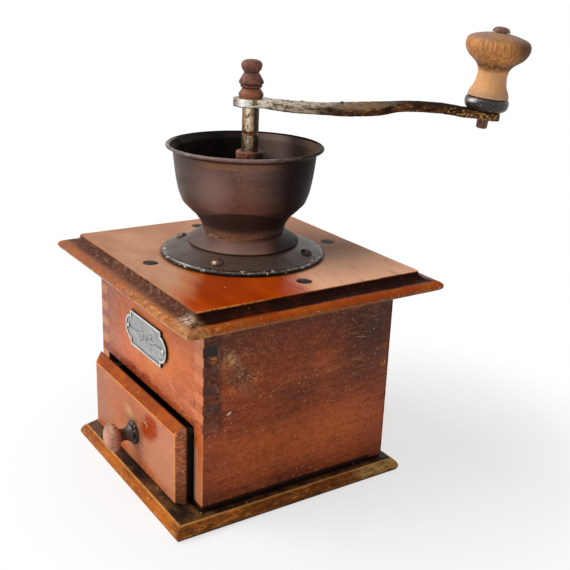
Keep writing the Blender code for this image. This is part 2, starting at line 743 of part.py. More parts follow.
def top_board():
    """The top with its moulded edge and the throat that the beans fall through."""
    x, y = SIDE_X + TOP_OVERHANG, BACK_Y + TOP_OVERHANG
    outline = [(-x, -y), (x, -y), (x, y), (-x, y)]
    below = steps(TOP_UNDERCUT_SHARES, TOP_UNDERCUT, TOP_EDGE_LOW)
    above = steps(TOP_MOULDING_SHARES, TOP_MOULDING_WIDTH, TOP_THICKNESS - TOP_EDGE_HIGH)
    board = moulded_board("top_board", outline, TOP_LOW, TOP_EDGE_LOW, TOP_EDGE_HIGH, below, above)
    place(board, orange_wood)
    cut(board, rod("throat", THROAT_RADIUS, (AXIS_X, AXIS_Y, TOP_LOW - CUT_OVERRUN),
                   (AXIS_X, AXIS_Y, FIELD_HEIGHT + CUT_OVERRUN), ROUND_FACETS))
    return board


def top_screw(side, board, wall, x, y):
    """A countersunk screw that holds the top board to the middle of a wall."""
    spot = (x, y, FIELD_HEIGHT)
    sizes = (SCREW_HEAD_RADIUS, SCREW_HEAD_HEIGHT, SCREW_SHANK_RADIUS)
    shape = countersunk(*sizes, TOP_THICKNESS + SCREW_EMBEDMENT)
    sink = countersink(*sizes, TOP_THICKNESS + CUT_OVERRUN)
    place(fastener(f"top_screw_{side}", spot, (0, 0, -1), shape), black_iron)
    cut(board, fastener(f"top_sink_{side}", spot, (0, 0, -1), sink))
    drill(wall, f"top_pilot_{side}", (x, y, WALL_TOP), (0, 0, -1), SCREW_SHANK_RADIUS, SCREW_EMBEDMENT)


def base_screw(corner, board, wall, x, y):
    """A countersunk screw that comes up through the base into a side board."""
    spot = (x, y, SEAT_GAP)
    sizes = (BASE_SCREW_HEAD_RADIUS, BASE_SCREW_HEAD_HEIGHT, BASE_SCREW_SHANK_RADIUS)
    shape = countersunk(*sizes, BASE_THICKNESS + SCREW_EMBEDMENT)
    sink = countersink(*sizes, BASE_THICKNESS + CUT_OVERRUN)
    foot = (x, y, WALL_LOW)
    place(fastener(f"base_screw_{corner}", spot, (0, 0, 1), shape), worn_steel)
    cut(board, fastener(f"base_sink_{corner}", spot, (0, 0, 1), sink))
    drill(wall, f"base_pilot_{corner}", foot, (0, 0, 1), BASE_SCREW_SHANK_RADIUS, SCREW_EMBEDMENT)


def badge_outline(inset):
    """A long plate with a rounded lobe at each end, set in by small steps."""
    body = BADGE_HALF_BODY - inset
    high = BADGE_HALF_HEIGHT - inset
    lobe = high - BADGE_STEP
    reach = BADGE_HALF_WIDTH - inset - body
    right = [(body, -high)]
    for i in range(BADGE_END_POINTS):
        angle = pi * i / (BADGE_END_POINTS - 1) - pi / 2
        right.append((body + reach * cos(angle), lobe * sin(angle)))
    right.append((body, high))
    return right + [(-x, -y) for x, y in right]


def badge_plate():
    """The blank plate with its raised rim."""
    depth = BADGE_THICKNESS + BADGE_RIM_HEIGHT
    axes = facing_front(FRONT_Y - SEAT_GAP - depth / 2, z=BADGE_HEIGHT)
    plate = place(flat_piece("badge_plate", [badge_outline(0)], depth, axes), pewter)
    pocket = facing_front(BADGE_FACE_Y - BADGE_RIM_HEIGHT, z=BADGE_HEIGHT)
    cut(plate, flat_piece("badge_pocket", [badge_outline(BADGE_RIM_WIDTH)], 2 * BADGE_RIM_HEIGHT, pocket))
    return plate


def badge_pin(side, x, plate, wall):
    """A pin that holds the plate to the front panel."""
    spot = (x, BADGE_FACE_Y - SEAT_GAP, BADGE_HEIGHT)
    rows = domed(BADGE_PIN_HEAD_RADIUS, BADGE_PIN_HEAD_HEIGHT, BADGE_PIN_RADIUS, BADGE_PIN_LENGTH)
    place(fastener(f"badge_pin_{side}", spot, (0, 1, 0), rows), worn_steel)
    for piece in (plate, wall):
        drill(piece, f"{piece.name}_pin_{side}", spot, (0, 1, 0), BADGE_PIN_RADIUS, BADGE_PIN_LENGTH)


def bead(radius, height, size, shares):
    """Points round a rolled edge. The shares are of half a turn, from the outside upwards."""
    return [(radius - size + size * cos(pi * a), height + size * sin(pi * a)) for a in shares]


def flange_top():
    """The flange's upper side, from its inner edge outwards."""
    return scaled(FLANGE_SHARES, FLANGE_RADIUS, FLANGE_RISE, FLANGE_LOW + SHEET)


def bowl_wall():
    """The bowl's outer side, below its rim."""
    return scaled(BOWL_WALL_SHARES, BOWL_RIM_RADIUS, BOWL_HEIGHT, BOWL_FOOT)


def hopper_flange():
    """The dished plate on the top board, with a beaded edge."""
    rise = flange_top()
    edge = bead(FLANGE_RADIUS, FLANGE_LOW + FLANGE_BEAD_RADIUS, FLANGE_BEAD_RADIUS, FLANGE_BEAD_SHARES)
    profile = rise + edge + coarser(offset_path(rise, SHEET)[::-1])
    return place(turned_mesh("hopper_flange", profile, True, HOPPER_FACETS), brown_iron)


def hopper_collar():
    """The cone below the bowl, with a sleeve that stands on the top board."""
    width = COLLAR_RADIUS - COLLAR_NECK_RADIUS
    height = COLLAR_RISE - COLLAR_EDGE
    foot = COLLAR_LOW + COLLAR_EDGE
    cone = [(COLLAR_NECK_RADIUS + width * w, foot + height * h) for w, h in COLLAR_CURVE_SHARES]
    sleeve = COLLAR_BORE_RADIUS + SHEET
    profile = [(COLLAR_BORE_RADIUS, COLLAR_TOP)] + cone
    profile += [(COLLAR_RADIUS, COLLAR_LOW), (COLLAR_RADIUS - SHEET, COLLAR_LOW)]
    profile += offset_path(cone, SHEET)[-2:0:-1]
    profile += [(sleeve, COLLAR_TOP - SHEET), (sleeve, FLANGE_LOW), (COLLAR_BORE_RADIUS, FLANGE_LOW)]
    return place(turned("hopper_collar", profile, True, HOPPER_FACETS), brown_iron)


def hopper_bowl():
    """The bell shaped bowl with a rolled rim and an open foot."""
    wall = bowl_wall()
    rim = bead(BOWL_RIM_RADIUS, RIM_HEIGHT, BOWL_BEAD_RADIUS, BOWL_BEAD_SHARES)
    profile = rim + wall + coarser(offset_path(wall, SHEET)[::-1])
    return place(turned("hopper_bowl", profile, True, HOPPER_FACETS), brown_iron)


def hopper_screws(flange, board):
    """Round headed screws that stand square to the flange's slope."""
    rise = flange_top()
    reach = ROUND_HEAD_RADIUS
    seat, low, high = (read_path(rise, HOPPER_SCREW_RADIUS + r, 0, 1) for r in (0, reach, -reach))
    lean = atan2(high - low, 2 * reach)
    for i in range(HOPPER_SCREWS):
        angle = HOPPER_SCREW_AZIMUTH + 2 * pi * i / HOPPER_SCREWS
        normal = Vector((*polar(sin(lean), angle), cos(lean)))
        spot = Vector((*polar(HOPPER_SCREW_RADIUS, angle), seat)) + normal * SEAT_GAP
        sizes = (ROUND_SHANK_RADIUS, ROUND_SHANK_LENGTH)
        rows = domed(ROUND_HEAD_RADIUS, ROUND_HEAD_HEIGHT, *sizes)
        place(fastener(f"hopper_screw_{i + 1}", spot, -normal, rows), brown_iron)
        drill(flange, f"flange_hole_{i + 1}", spot, -normal, *sizes)
        drill(board, f"board_hole_{i + 1}", spot, -normal, *sizes)


def bridge_outline():
    """The strap's outline along its own line, from the bowl's wall up and across to the other side."""
    inside = offset_path(bowl_wall(), SHEET)
    aside = abs(AXIS_X * sin(BRIDGE_AZIMUTH) - AXIS_Y * cos(BRIDGE_AZIMUTH)) + BRIDGE_WIDTH / 2
    low, high = (sqrt((read_path(inside, z, 1, 0) - SEAT_GAP) ** 2 - aside ** 2)
                 for z in (BRIDGE_FOOT_LOW, BRIDGE_FOOT_HIGH))
    rise = BRIDGE_TOP - BRIDGE_FOOT_HIGH
    left = [(-low, BRIDGE_FOOT_LOW), (-high, BRIDGE_FOOT_HIGH)]
    left += [(-high + BRIDGE_SHOULDER * x, BRIDGE_FOOT_HIGH + rise * z) for x, z in BRIDGE_SHOULDER_SHARES]
    outer = left + [(-x, z) for x, z in reversed(left)]
    return outer + offset_path(outer, BRIDGE_THICKNESS)[::-1]


def hopper_bridge():
    """A strap across the bowl, soldered to its wall, with a hub for the spindle's bush."""
    turn = Matrix.Rotation(BRIDGE_AZIMUTH, 4, "Z")
    aside = (turn.inverted() @ Vector((AXIS_X, AXIS_Y, 0))).y
    strap = flat_piece("hopper_bridge", [bridge_outline()], BRIDGE_WIDTH, turn @ facing_front(aside))
    place(strap, rusty_iron)
    top = Vector((AXIS_X, AXIS_Y, BRIDGE_TOP))
    foot = top - Vector((0, 0, BRIDGE_THICKNESS))
    over = Vector((0, 0, CUT_OVERRUN))
    unite(strap, rod("bridge_hub", BRIDGE_HUB_RADIUS, foot, top, ROUND_FACETS))
    cut(strap, rod("bridge_hole", BUSH_SLEEVE_RADIUS + SEAT_GAP, foot - over, top + over, ROUND_FACETS))
    return strap


def spindle_bush():
    """The collar and sleeve that the spindle turns in."""
    top = BUSH_LOW + BUSH_HEIGHT
    foot = BUSH_LOW - BUSH_SLEEVE_LENGTH
    bore = SPINDLE_RADIUS + SEAT_GAP
    profile = [(bore, top), (BUSH_RADIUS - BUSH_EDGE, top), (BUSH_RADIUS, top - BUSH_EDGE),
               (BUSH_RADIUS, BUSH_LOW), (BUSH_SLEEVE_RADIUS, BUSH_LOW), (BUSH_SLEEVE_RADIUS, foot),
               (bore, foot)]
    bush = turned("spindle_bush", profile, True, ROUND_FACETS)
    return place(bush, rusty_iron, location=(AXIS_X, AXIS_Y, 0))


def toothed_bore():
    """Rings down the inside of the burr housing, with teeth that lean."""
    rings = []
    for height, width in HOUSING_BORE_SHARES:
        tip = HOUSING_OUTER_RADIUS * width
        rings.append(ring(tip, HOUSING_LOW + HOUSING_HEIGHT * height, 2 * HOUSING_TEETH,
                          HOUSING_TWIST * (height - 1 / 2), tip + HOUSING_TOOTH_DEPTH))
    return rings


def burr_housing():
    """The fixed burr: a toothed ring with a flange and two bosses."""
    facets = 2 * HOUSING_TEETH
    shoulder = HOUSING_TOP - HOUSING_FLANGE_THICKNESS
    rings = [ring(HOUSING_OUTER_RADIUS, HOUSING_LOW, facets), ring(HOUSING_OUTER_RADIUS, shoulder, facets),
             ring(HOUSING_FLANGE_RADIUS, shoulder, facets), ring(HOUSING_FLANGE_RADIUS, HOUSING_TOP, facets)]
    bm = bmesh.new()
    loft(bm, rings + toothed_bore(), closed=True)
    body = place(mesh_object("burr_housing", bm), brown_iron, location=(AXIS_X, AXIS_Y, 0))
    for side in (-1, 1):
        x = AXIS_X + side * HOUSING_BOSS_OFFSET
        top = HOUSING_TOP - HOUSING_FLANGE_THICKNESS / 2
        foot = (x, AXIS_Y, HOUSING_LOW)
        unite(body, rod(f"housing_boss_{side}", HOUSING_BOSS_RADIUS, foot, (x, AXIS_Y, top)))
    return body


def housing_screws(body, board):
    """Four pan headed screws hold the housing's flange up against the top board."""
    for i, (side, end) in enumerate(((1, 1), (-1, 1), (-1, -1), (1, -1))):
        spot = (AXIS_X + side * HOUSING_SCREW_OFFSET, AXIS_Y + end * HOUSING_SCREW_OFFSET,
                HOUSING_TOP - HOUSING_FLANGE_THICKNESS - SEAT_GAP)
        sizes = (PAN_SHANK_RADIUS, PAN_SHANK_LENGTH)
        rows = domed(PAN_HEAD_RADIUS, PAN_HEAD_HEIGHT, *sizes)
        place(fastener(f"housing_screw_{i + 1}", spot, (0, 0, 1), rows), worn_steel)
        drill(body, f"housing_hole_{i + 1}", spot, (0, 0, 1), *sizes)
        drill(board, f"board_pilot_{i + 1}", spot, (0, 0, 1), *sizes)


def stirrup():
    """A bracket that hangs below the burrs and holds the thrust screw and its wheel."""
    inner = STIRRUP_HALF_WIDTH - STIRRUP_LEG
    right = [(inner, BAR_TOP), (inner, EAR_TOP), (STIRRUP_REACH, EAR_TOP), (STIRRUP_REACH, EAR_LOW),
             (STIRRUP_HALF_WIDTH, EAR_LOW), (STIRRUP_HALF_WIDTH, KEEPER_LOW)]
    outer = right + [(-x, z) for x, z in reversed(right)]
    window = [(-inner, KEEPER_TOP), (inner, KEEPER_TOP), (inner, BAR_LOW), (-inner, BAR_LOW)]
    body = flat_piece("stirrup", [outer, window], STIRRUP_DEPTH, facing_front(AXIS_Y, x=AXIS_X))
    place(body, brown_iron)
    boss_top = BAR_TOP + STIRRUP_BOSS_HEIGHT
    unite(body, rod("stirrup_boss", STIRRUP_BOSS_RADIUS, (AXIS_X, AXIS_Y, BAR_TOP - STIRRUP_BAR / 2),
                    (AXIS_X, AXIS_Y, boss_top), ROUND_FACETS))
    cut(body, rod("stirrup_bore", SPINDLE_LOWER_RADIUS + SEAT_GAP, (AXIS_X, AXIS_Y, BAR_LOW - CUT_OVERRUN),
                  (AXIS_X, AXIS_Y, boss_top + CUT_OVERRUN), ROUND_FACETS))
    half = THRUST_TAIL_WIDTH / 2 + SEAT_GAP
    cut(body, block("keeper_hole", (AXIS_X - half, AXIS_Y - half, KEEPER_LOW - CUT_OVERRUN),
                    (AXIS_X + half, AXIS_Y + half, KEEPER_TOP + CUT_OVERRUN)))
    return body


def stirrup_bolts(body, housing):
    """Two bolts hold the stirrup's ears to the housing's bosses."""
    for side, word in ((-1, "left"), (1, "right")):
        spot = (AXIS_X + side * HOUSING_BOSS_OFFSET, AXIS_Y, EAR_LOW - SEAT_GAP)
        rows = hexagonal(BOLT_HEAD_RADIUS, BOLT_HEAD_HEIGHT, BOLT_RADIUS, BOLT_LENGTH)
        place(fastener(f"stirrup_bolt_{word}", spot, (0, 0, 1), rows, BOLT_FACETS), worn_steel)
        drill(body, f"ear_hole_{word}", spot, (0, 0, 1), BOLT_RADIUS, BOLT_LENGTH)
        drill(housing, f"boss_hole_{word}", spot, (0, 0, 1), BOLT_RADIUS, BOLT_LENGTH)


def adjust_wheel():
    """A notched nut, captive in the stirrup's window, that raises and lowers the thrust screw."""
    pitch = 2 * pi / WHEEL_NOTCHES
    deep = WHEEL_RADIUS - WHEEL_NOTCH_DEPTH
    rim = []
    for i in range(WHEEL_NOTCHES):
        rim += [polar(r, pitch * (i + share))
                for r, share in zip((WHEEL_RADIUS, WHEEL_RADIUS, deep, deep), WHEEL_NOTCH_SHARES)]
    bore = [(x, y) for x, y, _ in ring(THRUST_SCREW_RADIUS + SEAT_GAP, 0, ROUND_FACETS)]
    middle = Matrix.Translation((0, 0, (KEEPER_TOP + BAR_LOW) / 2))
    wheel = flat_piece("adjust_wheel", [rim, bore], STIRRUP_WINDOW - 2 * SEAT_GAP, middle)
    return place(wheel, worn_steel, location=(AXIS_X, AXIS_Y, 0))


def thrust_screw(axis):
    """The screw that carries the spindle. Its square tail keeps it from turning."""
    profile = [(0, THRUST_TOP), (THRUST_SCREW_RADIUS - SPINDLE_EDGE, THRUST_TOP),
               (THRUST_SCREW_RADIUS, THRUST_TOP - SPINDLE_EDGE), (THRUST_SCREW_RADIUS, THRUST_LOW),
               (0, THRUST_LOW)]
    screw = place(turned_mesh("thrust_screw", profile, facets=ROUND_FACETS), worn_steel, axis)
    half = THRUST_TAIL_WIDTH / 2
    tail = block("thrust_tail", (-half, -half, THRUST_TAIL_LOW), (half, half, THRUST_LOW + half))
    unite(screw, tail, axis)
    return screw


def spindle(axis):
    """The shaft from the thrust screw up to the crank, with a square tang and a stud."""
    groove = CRANK_SEAT_HEIGHT - GROOVE_DROP
    shoulder = CONE_TOP + CUT_OVERRUN
    stud_top = CRANK_SEAT_HEIGHT + STUD_LENGTH
    profile = [(0, stud_top), (STUD_RADIUS - SPINDLE_EDGE, stud_top), (STUD_RADIUS, stud_top - SPINDLE_EDGE),
               (STUD_RADIUS, CRANK_SEAT_HEIGHT), (SPINDLE_RADIUS, CRANK_SEAT_HEIGHT),
               (SPINDLE_RADIUS, groove), (SPINDLE_RADIUS - GROOVE_DEPTH, groove - GROOVE_DEPTH),
               (SPINDLE_RADIUS - GROOVE_DEPTH, groove - GROOVE_HEIGHT + GROOVE_DEPTH),
               (SPINDLE_RADIUS, groove - GROOVE_HEIGHT), (SPINDLE_RADIUS, shoulder),
               (SPINDLE_LOWER_RADIUS, shoulder), (SPINDLE_LOWER_RADIUS, SPINDLE_LOW + SPINDLE_EDGE),
               (SPINDLE_LOWER_RADIUS - SPINDLE_EDGE, SPINDLE_LOW), (0, SPINDLE_LOW)]
    shaft = place(turned_mesh("spindle", profile, facets=ROUND_FACETS), worn_steel, axis)
    half = TANG_WIDTH / 2
    tang_top = CRANK_SEAT_HEIGHT + TANG_HEIGHT
    tang = block("tang", (-half, -half, CRANK_SEAT_HEIGHT - half), (half, half, tang_top))
    unite(shaft, tang, axis)
    return shaft


def burr_cone(axis):
    """The turning burr: a cone whose spiral teeth grow deeper towards its foot."""
    facets = 2 * CONE_TEETH
    base = HOUSING_OUTER_RADIUS * HOUSING_BORE_SHARES[-1][1] - GRINDING_GAP
    rings = []
    for height, width in CONE_SHARES:
        tip = CONE_TOP_RADIUS + (base - CONE_TOP_RADIUS) * width
        root = tip - CONE_TOOTH_DEPTH * (1 + width) / 2
        rings.append(ring(tip, CONE_LOW + CONE_HEIGHT * height, facets, CONE_TWIST * height, root))
    rings += [ring(CONE_HUB_RADIUS, CONE_LOW, facets), ring(CONE_HUB_RADIUS, HUB_LOW, facets)]
    bm = bmesh.new()
    loft(bm, rings)
    cone = place(mesh_object("burr_cone", bm), brown_iron, axis)
    bore = SPINDLE_LOWER_RADIUS + SEAT_GAP
    low, high = (0, 0, HUB_LOW - CUT_OVERRUN), (0, 0, CONE_TOP + CUT_OVERRUN)
    cut(cone, rod("cone_bore", bore, low, high, ROUND_FACETS), axis)
    return cone


def cone_pin(axis, cone, shaft):
    """A cross pin through the cone's hub and the spindle."""
    middle = HUB_LOW + CONE_HUB_HEIGHT / 2
    start, end = (-CONE_HUB_RADIUS, 0, middle), (CONE_HUB_RADIUS, 0, middle)
    place(rod("cone_pin", CONE_PIN_RADIUS, start, end), worn_steel, axis)
    for piece in (cone, shaft):
        drill(piece, f"{piece.name}_pin_hole", start, (1, 0, 0), CONE_PIN_RADIUS, 2 * CONE_HUB_RADIUS, axis)


def arm_section(along, rise, twist, half_width):
    """A flat bar's section with broken corners, turned about the arm's own line."""
    half = ARM_THICKNESS / 2
    edge = half - ARM_CHAMFER
    inner = half_width - min(ARM_CHAMFER, half_width / 2)
    outline = [(half_width, -edge), (half_width, edge), (inner, half), (-inner, half),
               (-half_width, edge), (-half_width, -edge), (-inner, -half), (inner, -half)]
    middle = ARM_LOW + half + rise
    lean = ARM_TWIST * twist
    turned_outline = [(y * cos(lean) - z * sin(lean), y * sin(lean) + z * cos(lean)) for y, z in outline]
    return [(along, y, middle + z) for y, z in turned_outline]


def crank_arm(axis):
    """A forged arm that sags, twists and rises on its way. Its far eye slopes with the knob's lean."""
    sections = []
    for share in ARM_NEAR_EYE_SHARES:
        half_width = ARM_NEAR_EYE_RADIUS * sqrt(1 - share ** 2)
        sections.append(arm_section(ARM_NEAR_EYE_RADIUS * share, 0, 0, half_width))
    for length, bend, twist, width in ARM_STATION_SHARES:
        sections.append(arm_section(ARM_LENGTH * length, ARM_BEND * bend, twist, ARM_WIDTH * width / 2))
    for share in ARM_FAR_EYE_SHARES:
        half_width = ARM_FAR_EYE_RADIUS * sqrt(1 - share ** 2)
        beyond = ARM_FAR_EYE_RADIUS * share
        rise = ARM_BEND * ARM_FAR_BEND_SHARE - beyond * tan(KNOB_LEAN)
        sections.append(arm_section(ARM_LENGTH + beyond, rise, 0, half_width))
    bm = bmesh.new()
    loft(bm, sections)
    arm = place(mesh_object("crank_arm", bm), rusty_iron, axis)
    half = TANG_WIDTH / 2 + SEAT_GAP
    hole_top = ARM_TOP + CUT_OVERRUN
    cut(arm, block("tang_hole", (-half, -half, ARM_LOW - CUT_OVERRUN), (half, half, hole_top)), axis)
    return arm


def finial_nut(axis):
    """The turned nut with a blind bore for the stud."""
    bore = STUD_RADIUS + SEAT_GAP
    profile = [(0, NUT_LOW + NUT_HEIGHT)] + scaled(NUT_SHARES, NUT_RADIUS, NUT_HEIGHT, NUT_LOW)
    profile += [(bore, NUT_LOW), (bore, NUT_LOW + NUT_BORE_DEPTH), (0, NUT_LOW + NUT_BORE_DEPTH)]
    return place(turned("finial_nut", profile, facets=ROUND_FACETS), rusty_iron, axis)


def knob_pin(axis, arm):
    """The rivet that the crank knob spins on. Heights count from the arm's upper face."""
    seat = FERRULE_HEIGHT + GRIP_HEIGHT + 3 * SEAT_GAP
    tail = -ARM_THICKNESS - KNOB_PIN_TAIL
    head = scaled(DOME_SHARES, RIVET_HEAD_RADIUS, RIVET_HEAD_HEIGHT, seat)
    profile = [(0, seat + RIVET_HEAD_HEIGHT)] + head
    profile += [(KNOB_PIN_RADIUS, seat), (KNOB_PIN_RADIUS, tail + SPINDLE_EDGE),
                (KNOB_PIN_RADIUS - SPINDLE_EDGE, tail), (0, tail)]
    depth = ARM_THICKNESS + CUT_OVERRUN
    drill(arm, "pin_hole", (0, 0, 0), (0, 0, -1), KNOB_PIN_RADIUS, depth, axis, ROUND_FACETS)
    return place(turned("knob_pin", profile, facets=ROUND_FACETS), worn_steel, axis)


def knob_ferrule(axis):
    """The iron cup below the wooden grip."""
    bore = KNOB_PIN_RADIUS + SEAT_GAP
    floor = SEAT_GAP + FERRULE_FLOOR
    profile = [(FERRULE_CUP_RADIUS, SEAT_GAP + FERRULE_HEIGHT)]
    profile += scaled(FERRULE_SHARES, FERRULE_RADIUS, FERRULE_HEIGHT, SEAT_GAP)
    profile += [(bore, SEAT_GAP), (bore, floor), (FERRULE_CUP_RADIUS, floor)]
    return place(turned("knob_ferrule", profile, True), black_iron, axis)


def knob_grip(axis):
    """The bulb shaped wooden grip, with a tenon in the ferrule's cup."""
    bore = KNOB_PIN_RADIUS + SEAT_GAP
    foot = FERRULE_HEIGHT + 2 * SEAT_GAP
    tenon = FERRULE_CUP_RADIUS - SEAT_GAP
    tenon_low = FERRULE_FLOOR + 2 * SEAT_GAP
    profile = [(bore, foot + GRIP_HEIGHT)] + scaled(GRIP_SHARES, GRIP_RADIUS, GRIP_HEIGHT, foot)
    profile += [(tenon, foot), (tenon, tenon_low), (bore, tenon_low)]
    return place(turned("knob_grip", profile, True), knob_wood, axis)


def drawer_front(slide):
    """The bevelled board that overlaps the drawer's opening."""
    wide = SIDE_X - FRONT_SIDE_MARGIN
    top = OPENING_TOP + FRONT_TOP_LAP
    sections = ((wide, DRAWER_FRONT_LOW, top, DRAWER_FRONT_BACK_Y),
                (wide, DRAWER_FRONT_LOW, top, DRAWER_FRONT_BACK_Y - FRONT_EDGE),
                (wide - FRONT_BEVEL_WIDTH, DRAWER_FRONT_LOW + FRONT_BEVEL_FOOT, top - FRONT_BEVEL_WIDTH,
                 DRAWER_FACE_Y))
    bm = bmesh.new()
    loft(bm, [[(-x, y, low), (x, y, low), (x, y, high), (-x, y, high)] for x, low, high, y in sections])
    return place(mesh_object("drawer_front", bm), orange_wood, slide)


def drawer_side(name, side, slide):
    """A side of the drawer, grooved for the bottom."""
    outer = side * DRAWER_HALF_WIDTH
    inner = side * (DRAWER_HALF_WIDTH - DRAWER_WALL)
    groove = side * (DRAWER_HALF_WIDTH - DRAWER_WALL + DRAWER_GROOVE)
    floor = DRAWER_LOW + DRAWER_FLOOR_LIFT
    slot = floor + DRAWER_FLOOR + 2 * SEAT_GAP
    outline = [(outer, DRAWER_LOW), (inner, DRAWER_LOW), (inner, floor), (groove, floor), (groove, slot),
               (inner, slot), (inner, DRAWER_TOP), (outer, DRAWER_TOP)]
    middle = (DRAWER_BOX_FRONT_Y + DRAWER_BOX_BACK_Y) / 2
    return place(flat_piece(name, [outline], DRAWER_DEPTH, facing_front(middle)), drawer_wood, slide)


def drawer_back(slide):
    """The back of the drawer, above the bottom board."""
    half = DRAWER_HALF_WIDTH - DRAWER_WALL - SEAT_GAP
    low = DRAWER_LOW + DRAWER_FLOOR_LIFT + DRAWER_FLOOR + 2 * SEAT_GAP
    face = DRAWER_BOX_BACK_Y - DRAWER_WALL
    piece = block("drawer_back", (-half, face, low), (half, DRAWER_BOX_BACK_Y, DRAWER_TOP))
    return place(piece, drawer_wood, slide)


def drawer_bottom(slide):
    """The bottom board, which slides in the side grooves below the back."""
    half = DRAWER_HALF_WIDTH - DRAWER_WALL + DRAWER_GROOVE - SEAT_GAP
    low = DRAWER_LOW + DRAWER_FLOOR_LIFT + SEAT_GAP
    far = (half, DRAWER_BOX_BACK_Y, low + DRAWER_FLOOR)
    return place(block("drawer_bottom", (-half, DRAWER_BOX_FRONT_Y, low), far), drawer_wood, slide)


def knob_spot(y):
    """A place on the drawer knob's axis."""
    return (DRAWER_KNOB_OFFSET, y, DRAWER_FRONT_LOW + DRAWER_KNOB_LIFT)


def drawer_knob_rosette(slide):
    """The small plate behind the knob."""
    bore = KNOB_SCREW_RADIUS + SEAT_GAP
    rim = scaled(ROSETTE_SHARES, ROSETTE_RADIUS, ROSETTE_THICKNESS, 0)
    profile = [(bore, ROSETTE_THICKNESS)] + rim + [(bore, 0)]
    rosette = turned("drawer_knob_rosette", profile, True, ROUND_FACETS)
    return place(rosette, brown_iron, slide, knob_spot(DRAWER_FACE_Y - SEAT_GAP), (pi / 2, 0, 0))


def drawer_knob(slide):
    """The turned knob, bored for its screw."""
    bore = KNOB_SCREW_RADIUS + SEAT_GAP
    seat = DRAWER_FACE_Y - ROSETTE_THICKNESS - 2 * SEAT_GAP
    depth = seat - (DRAWER_FRONT_BACK_Y - KNOB_SCREW_LENGTH)
    outer = scaled(DRAWER_KNOB_SHARES, DRAWER_KNOB_RADIUS, DRAWER_KNOB_LENGTH, 0)
    profile = [(0, DRAWER_KNOB_LENGTH)] + outer
    profile += [(bore, 0), (bore, depth), (0, depth)]
    knob = turned("drawer_knob", profile, facets=ROUND_FACETS)
    return place(knob, red_wood, slide, knob_spot(seat), (pi / 2, 0, 0))


def drawer_knob_screw(slide, front):
    """The screw from inside the drawer into the knob."""
    spot = knob_spot(DRAWER_FRONT_BACK_Y + SEAT_GAP)
    sizes = (KNOB_SCREW_RADIUS, KNOB_SCREW_LENGTH)
    rows = domed(KNOB_SCREW_HEAD_RADIUS, KNOB_SCREW_HEAD_HEIGHT, *sizes)
    drill(front, "knob_screw_hole", spot, (0, -1, 0), *sizes, slide)
    return place(fastener("drawer_knob_screw", spot, (0, -1, 0), rows), worn_steel, slide)


def build_case():
    """The boards, their screws and the blank plate."""
    left, right = side_board("case_side_left", -1), side_board("case_side_right", 1)
    front = panel("case_front_panel", OPENING_TOP, (FRONT_Y + INNER_FRONT_Y) / 2)
    back = panel("case_back_panel", WALL_LOW, (BACK_Y + INNER_BACK_Y) / 2)
    drawer_runner("drawer_runner_left", -1)
    drawer_runner("drawer_runner_right", 1)
    base, top = base_board(), top_board()
    side_middle = SIDE_X - BOARD_THICKNESS / 2
    end_middle = BACK_Y - PANEL_THICKNESS / 2
    for side, wall, x, y, (dx, dy) in (("front", front, 0, -end_middle, TOP_SCREW_FRONT),
                                       ("right", right, side_middle, 0, TOP_SCREW_RIGHT),
                                       ("back", back, 0, end_middle, TOP_SCREW_BACK),
                                       ("left", left, -side_middle, 0, TOP_SCREW_LEFT)):
        top_screw(side, top, wall, x + dx, y + dy)
    for side, wall, x in (("left", left, -side_middle), ("right", right, side_middle)):
        base_screw(f"front_{side}", base, wall, x, FRONT_Y * BASE_SCREW_SPACING_SHARE)
        base_screw(f"back_{side}", base, wall, x, BACK_Y * BASE_SCREW_SPACING_SHARE)
    plate = badge_plate()
    badge_pin("left", -BADGE_PIN_OFFSET, plate, front)
    badge_pin("right", BADGE_PIN_OFFSET, plate, front)
    return top


def build_hopper(top):
    """The iron hopper on the top board."""
    flange = hopper_flange()
    hopper_collar()
    hopper_bowl()
    hopper_screws(flange, top)
    hopper_bridge()
    spindle_bush()


def build_burrs(top):
    """The fixed burr, its stirrup, and the wheel and screw that set the grind."""
    housing = burr_housing()
    housing_screws(housing, top)
    stirrup_bolts(stirrup(), housing)
    adjust_wheel()
    thrust_screw(pivot("thrust_axis", (AXIS_X, AXIS_Y, 0)))


def build_crank():
    """What turns with the crank, and the knob that spins at its end."""
    axis = pivot("crank_axis", (AXIS_X, AXIS_Y, 0), (0, 0, CRANK_AZIMUTH))
    shaft = spindle(axis)
    cone_pin(axis, burr_cone(axis), shaft)
    arm = crank_arm(axis)
    finial_nut(axis)
    eye_top = ARM_TOP + ARM_BEND * ARM_FAR_BEND_SHARE
    knob_axis = pivot("knob_axis", (ARM_LENGTH, 0, eye_top), (0, KNOB_LEAN, 0), axis)
    knob_pin(knob_axis, arm)
    knob_ferrule(knob_axis)
    knob_grip(knob_axis)


def build_drawer():
    """The drawer, a little way out."""
    slide = pivot("drawer_slide", (0, 0, 0))
    front = drawer_front(slide)
    drawer_side("drawer_side_left", -1, slide)
    drawer_side("drawer_side_right", 1, slide)
    drawer_back(slide)
    drawer_bottom(slide)
    drawer_knob_rosette(slide)
    drawer_knob(slide)
    drawer_knob_screw(slide, front)


case_top = build_case()
build_hopper(case_top)
build_burrs(case_top)
build_crank()
build_drawer()
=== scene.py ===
"""The looks of a hand cranked box coffee mill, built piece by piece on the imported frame."""
import random
from math import cos, pi, radians, sin

import bmesh
import bpy
from mathutils import Matrix, Vector, noise
from mathutils.bvhtree import BVHTree


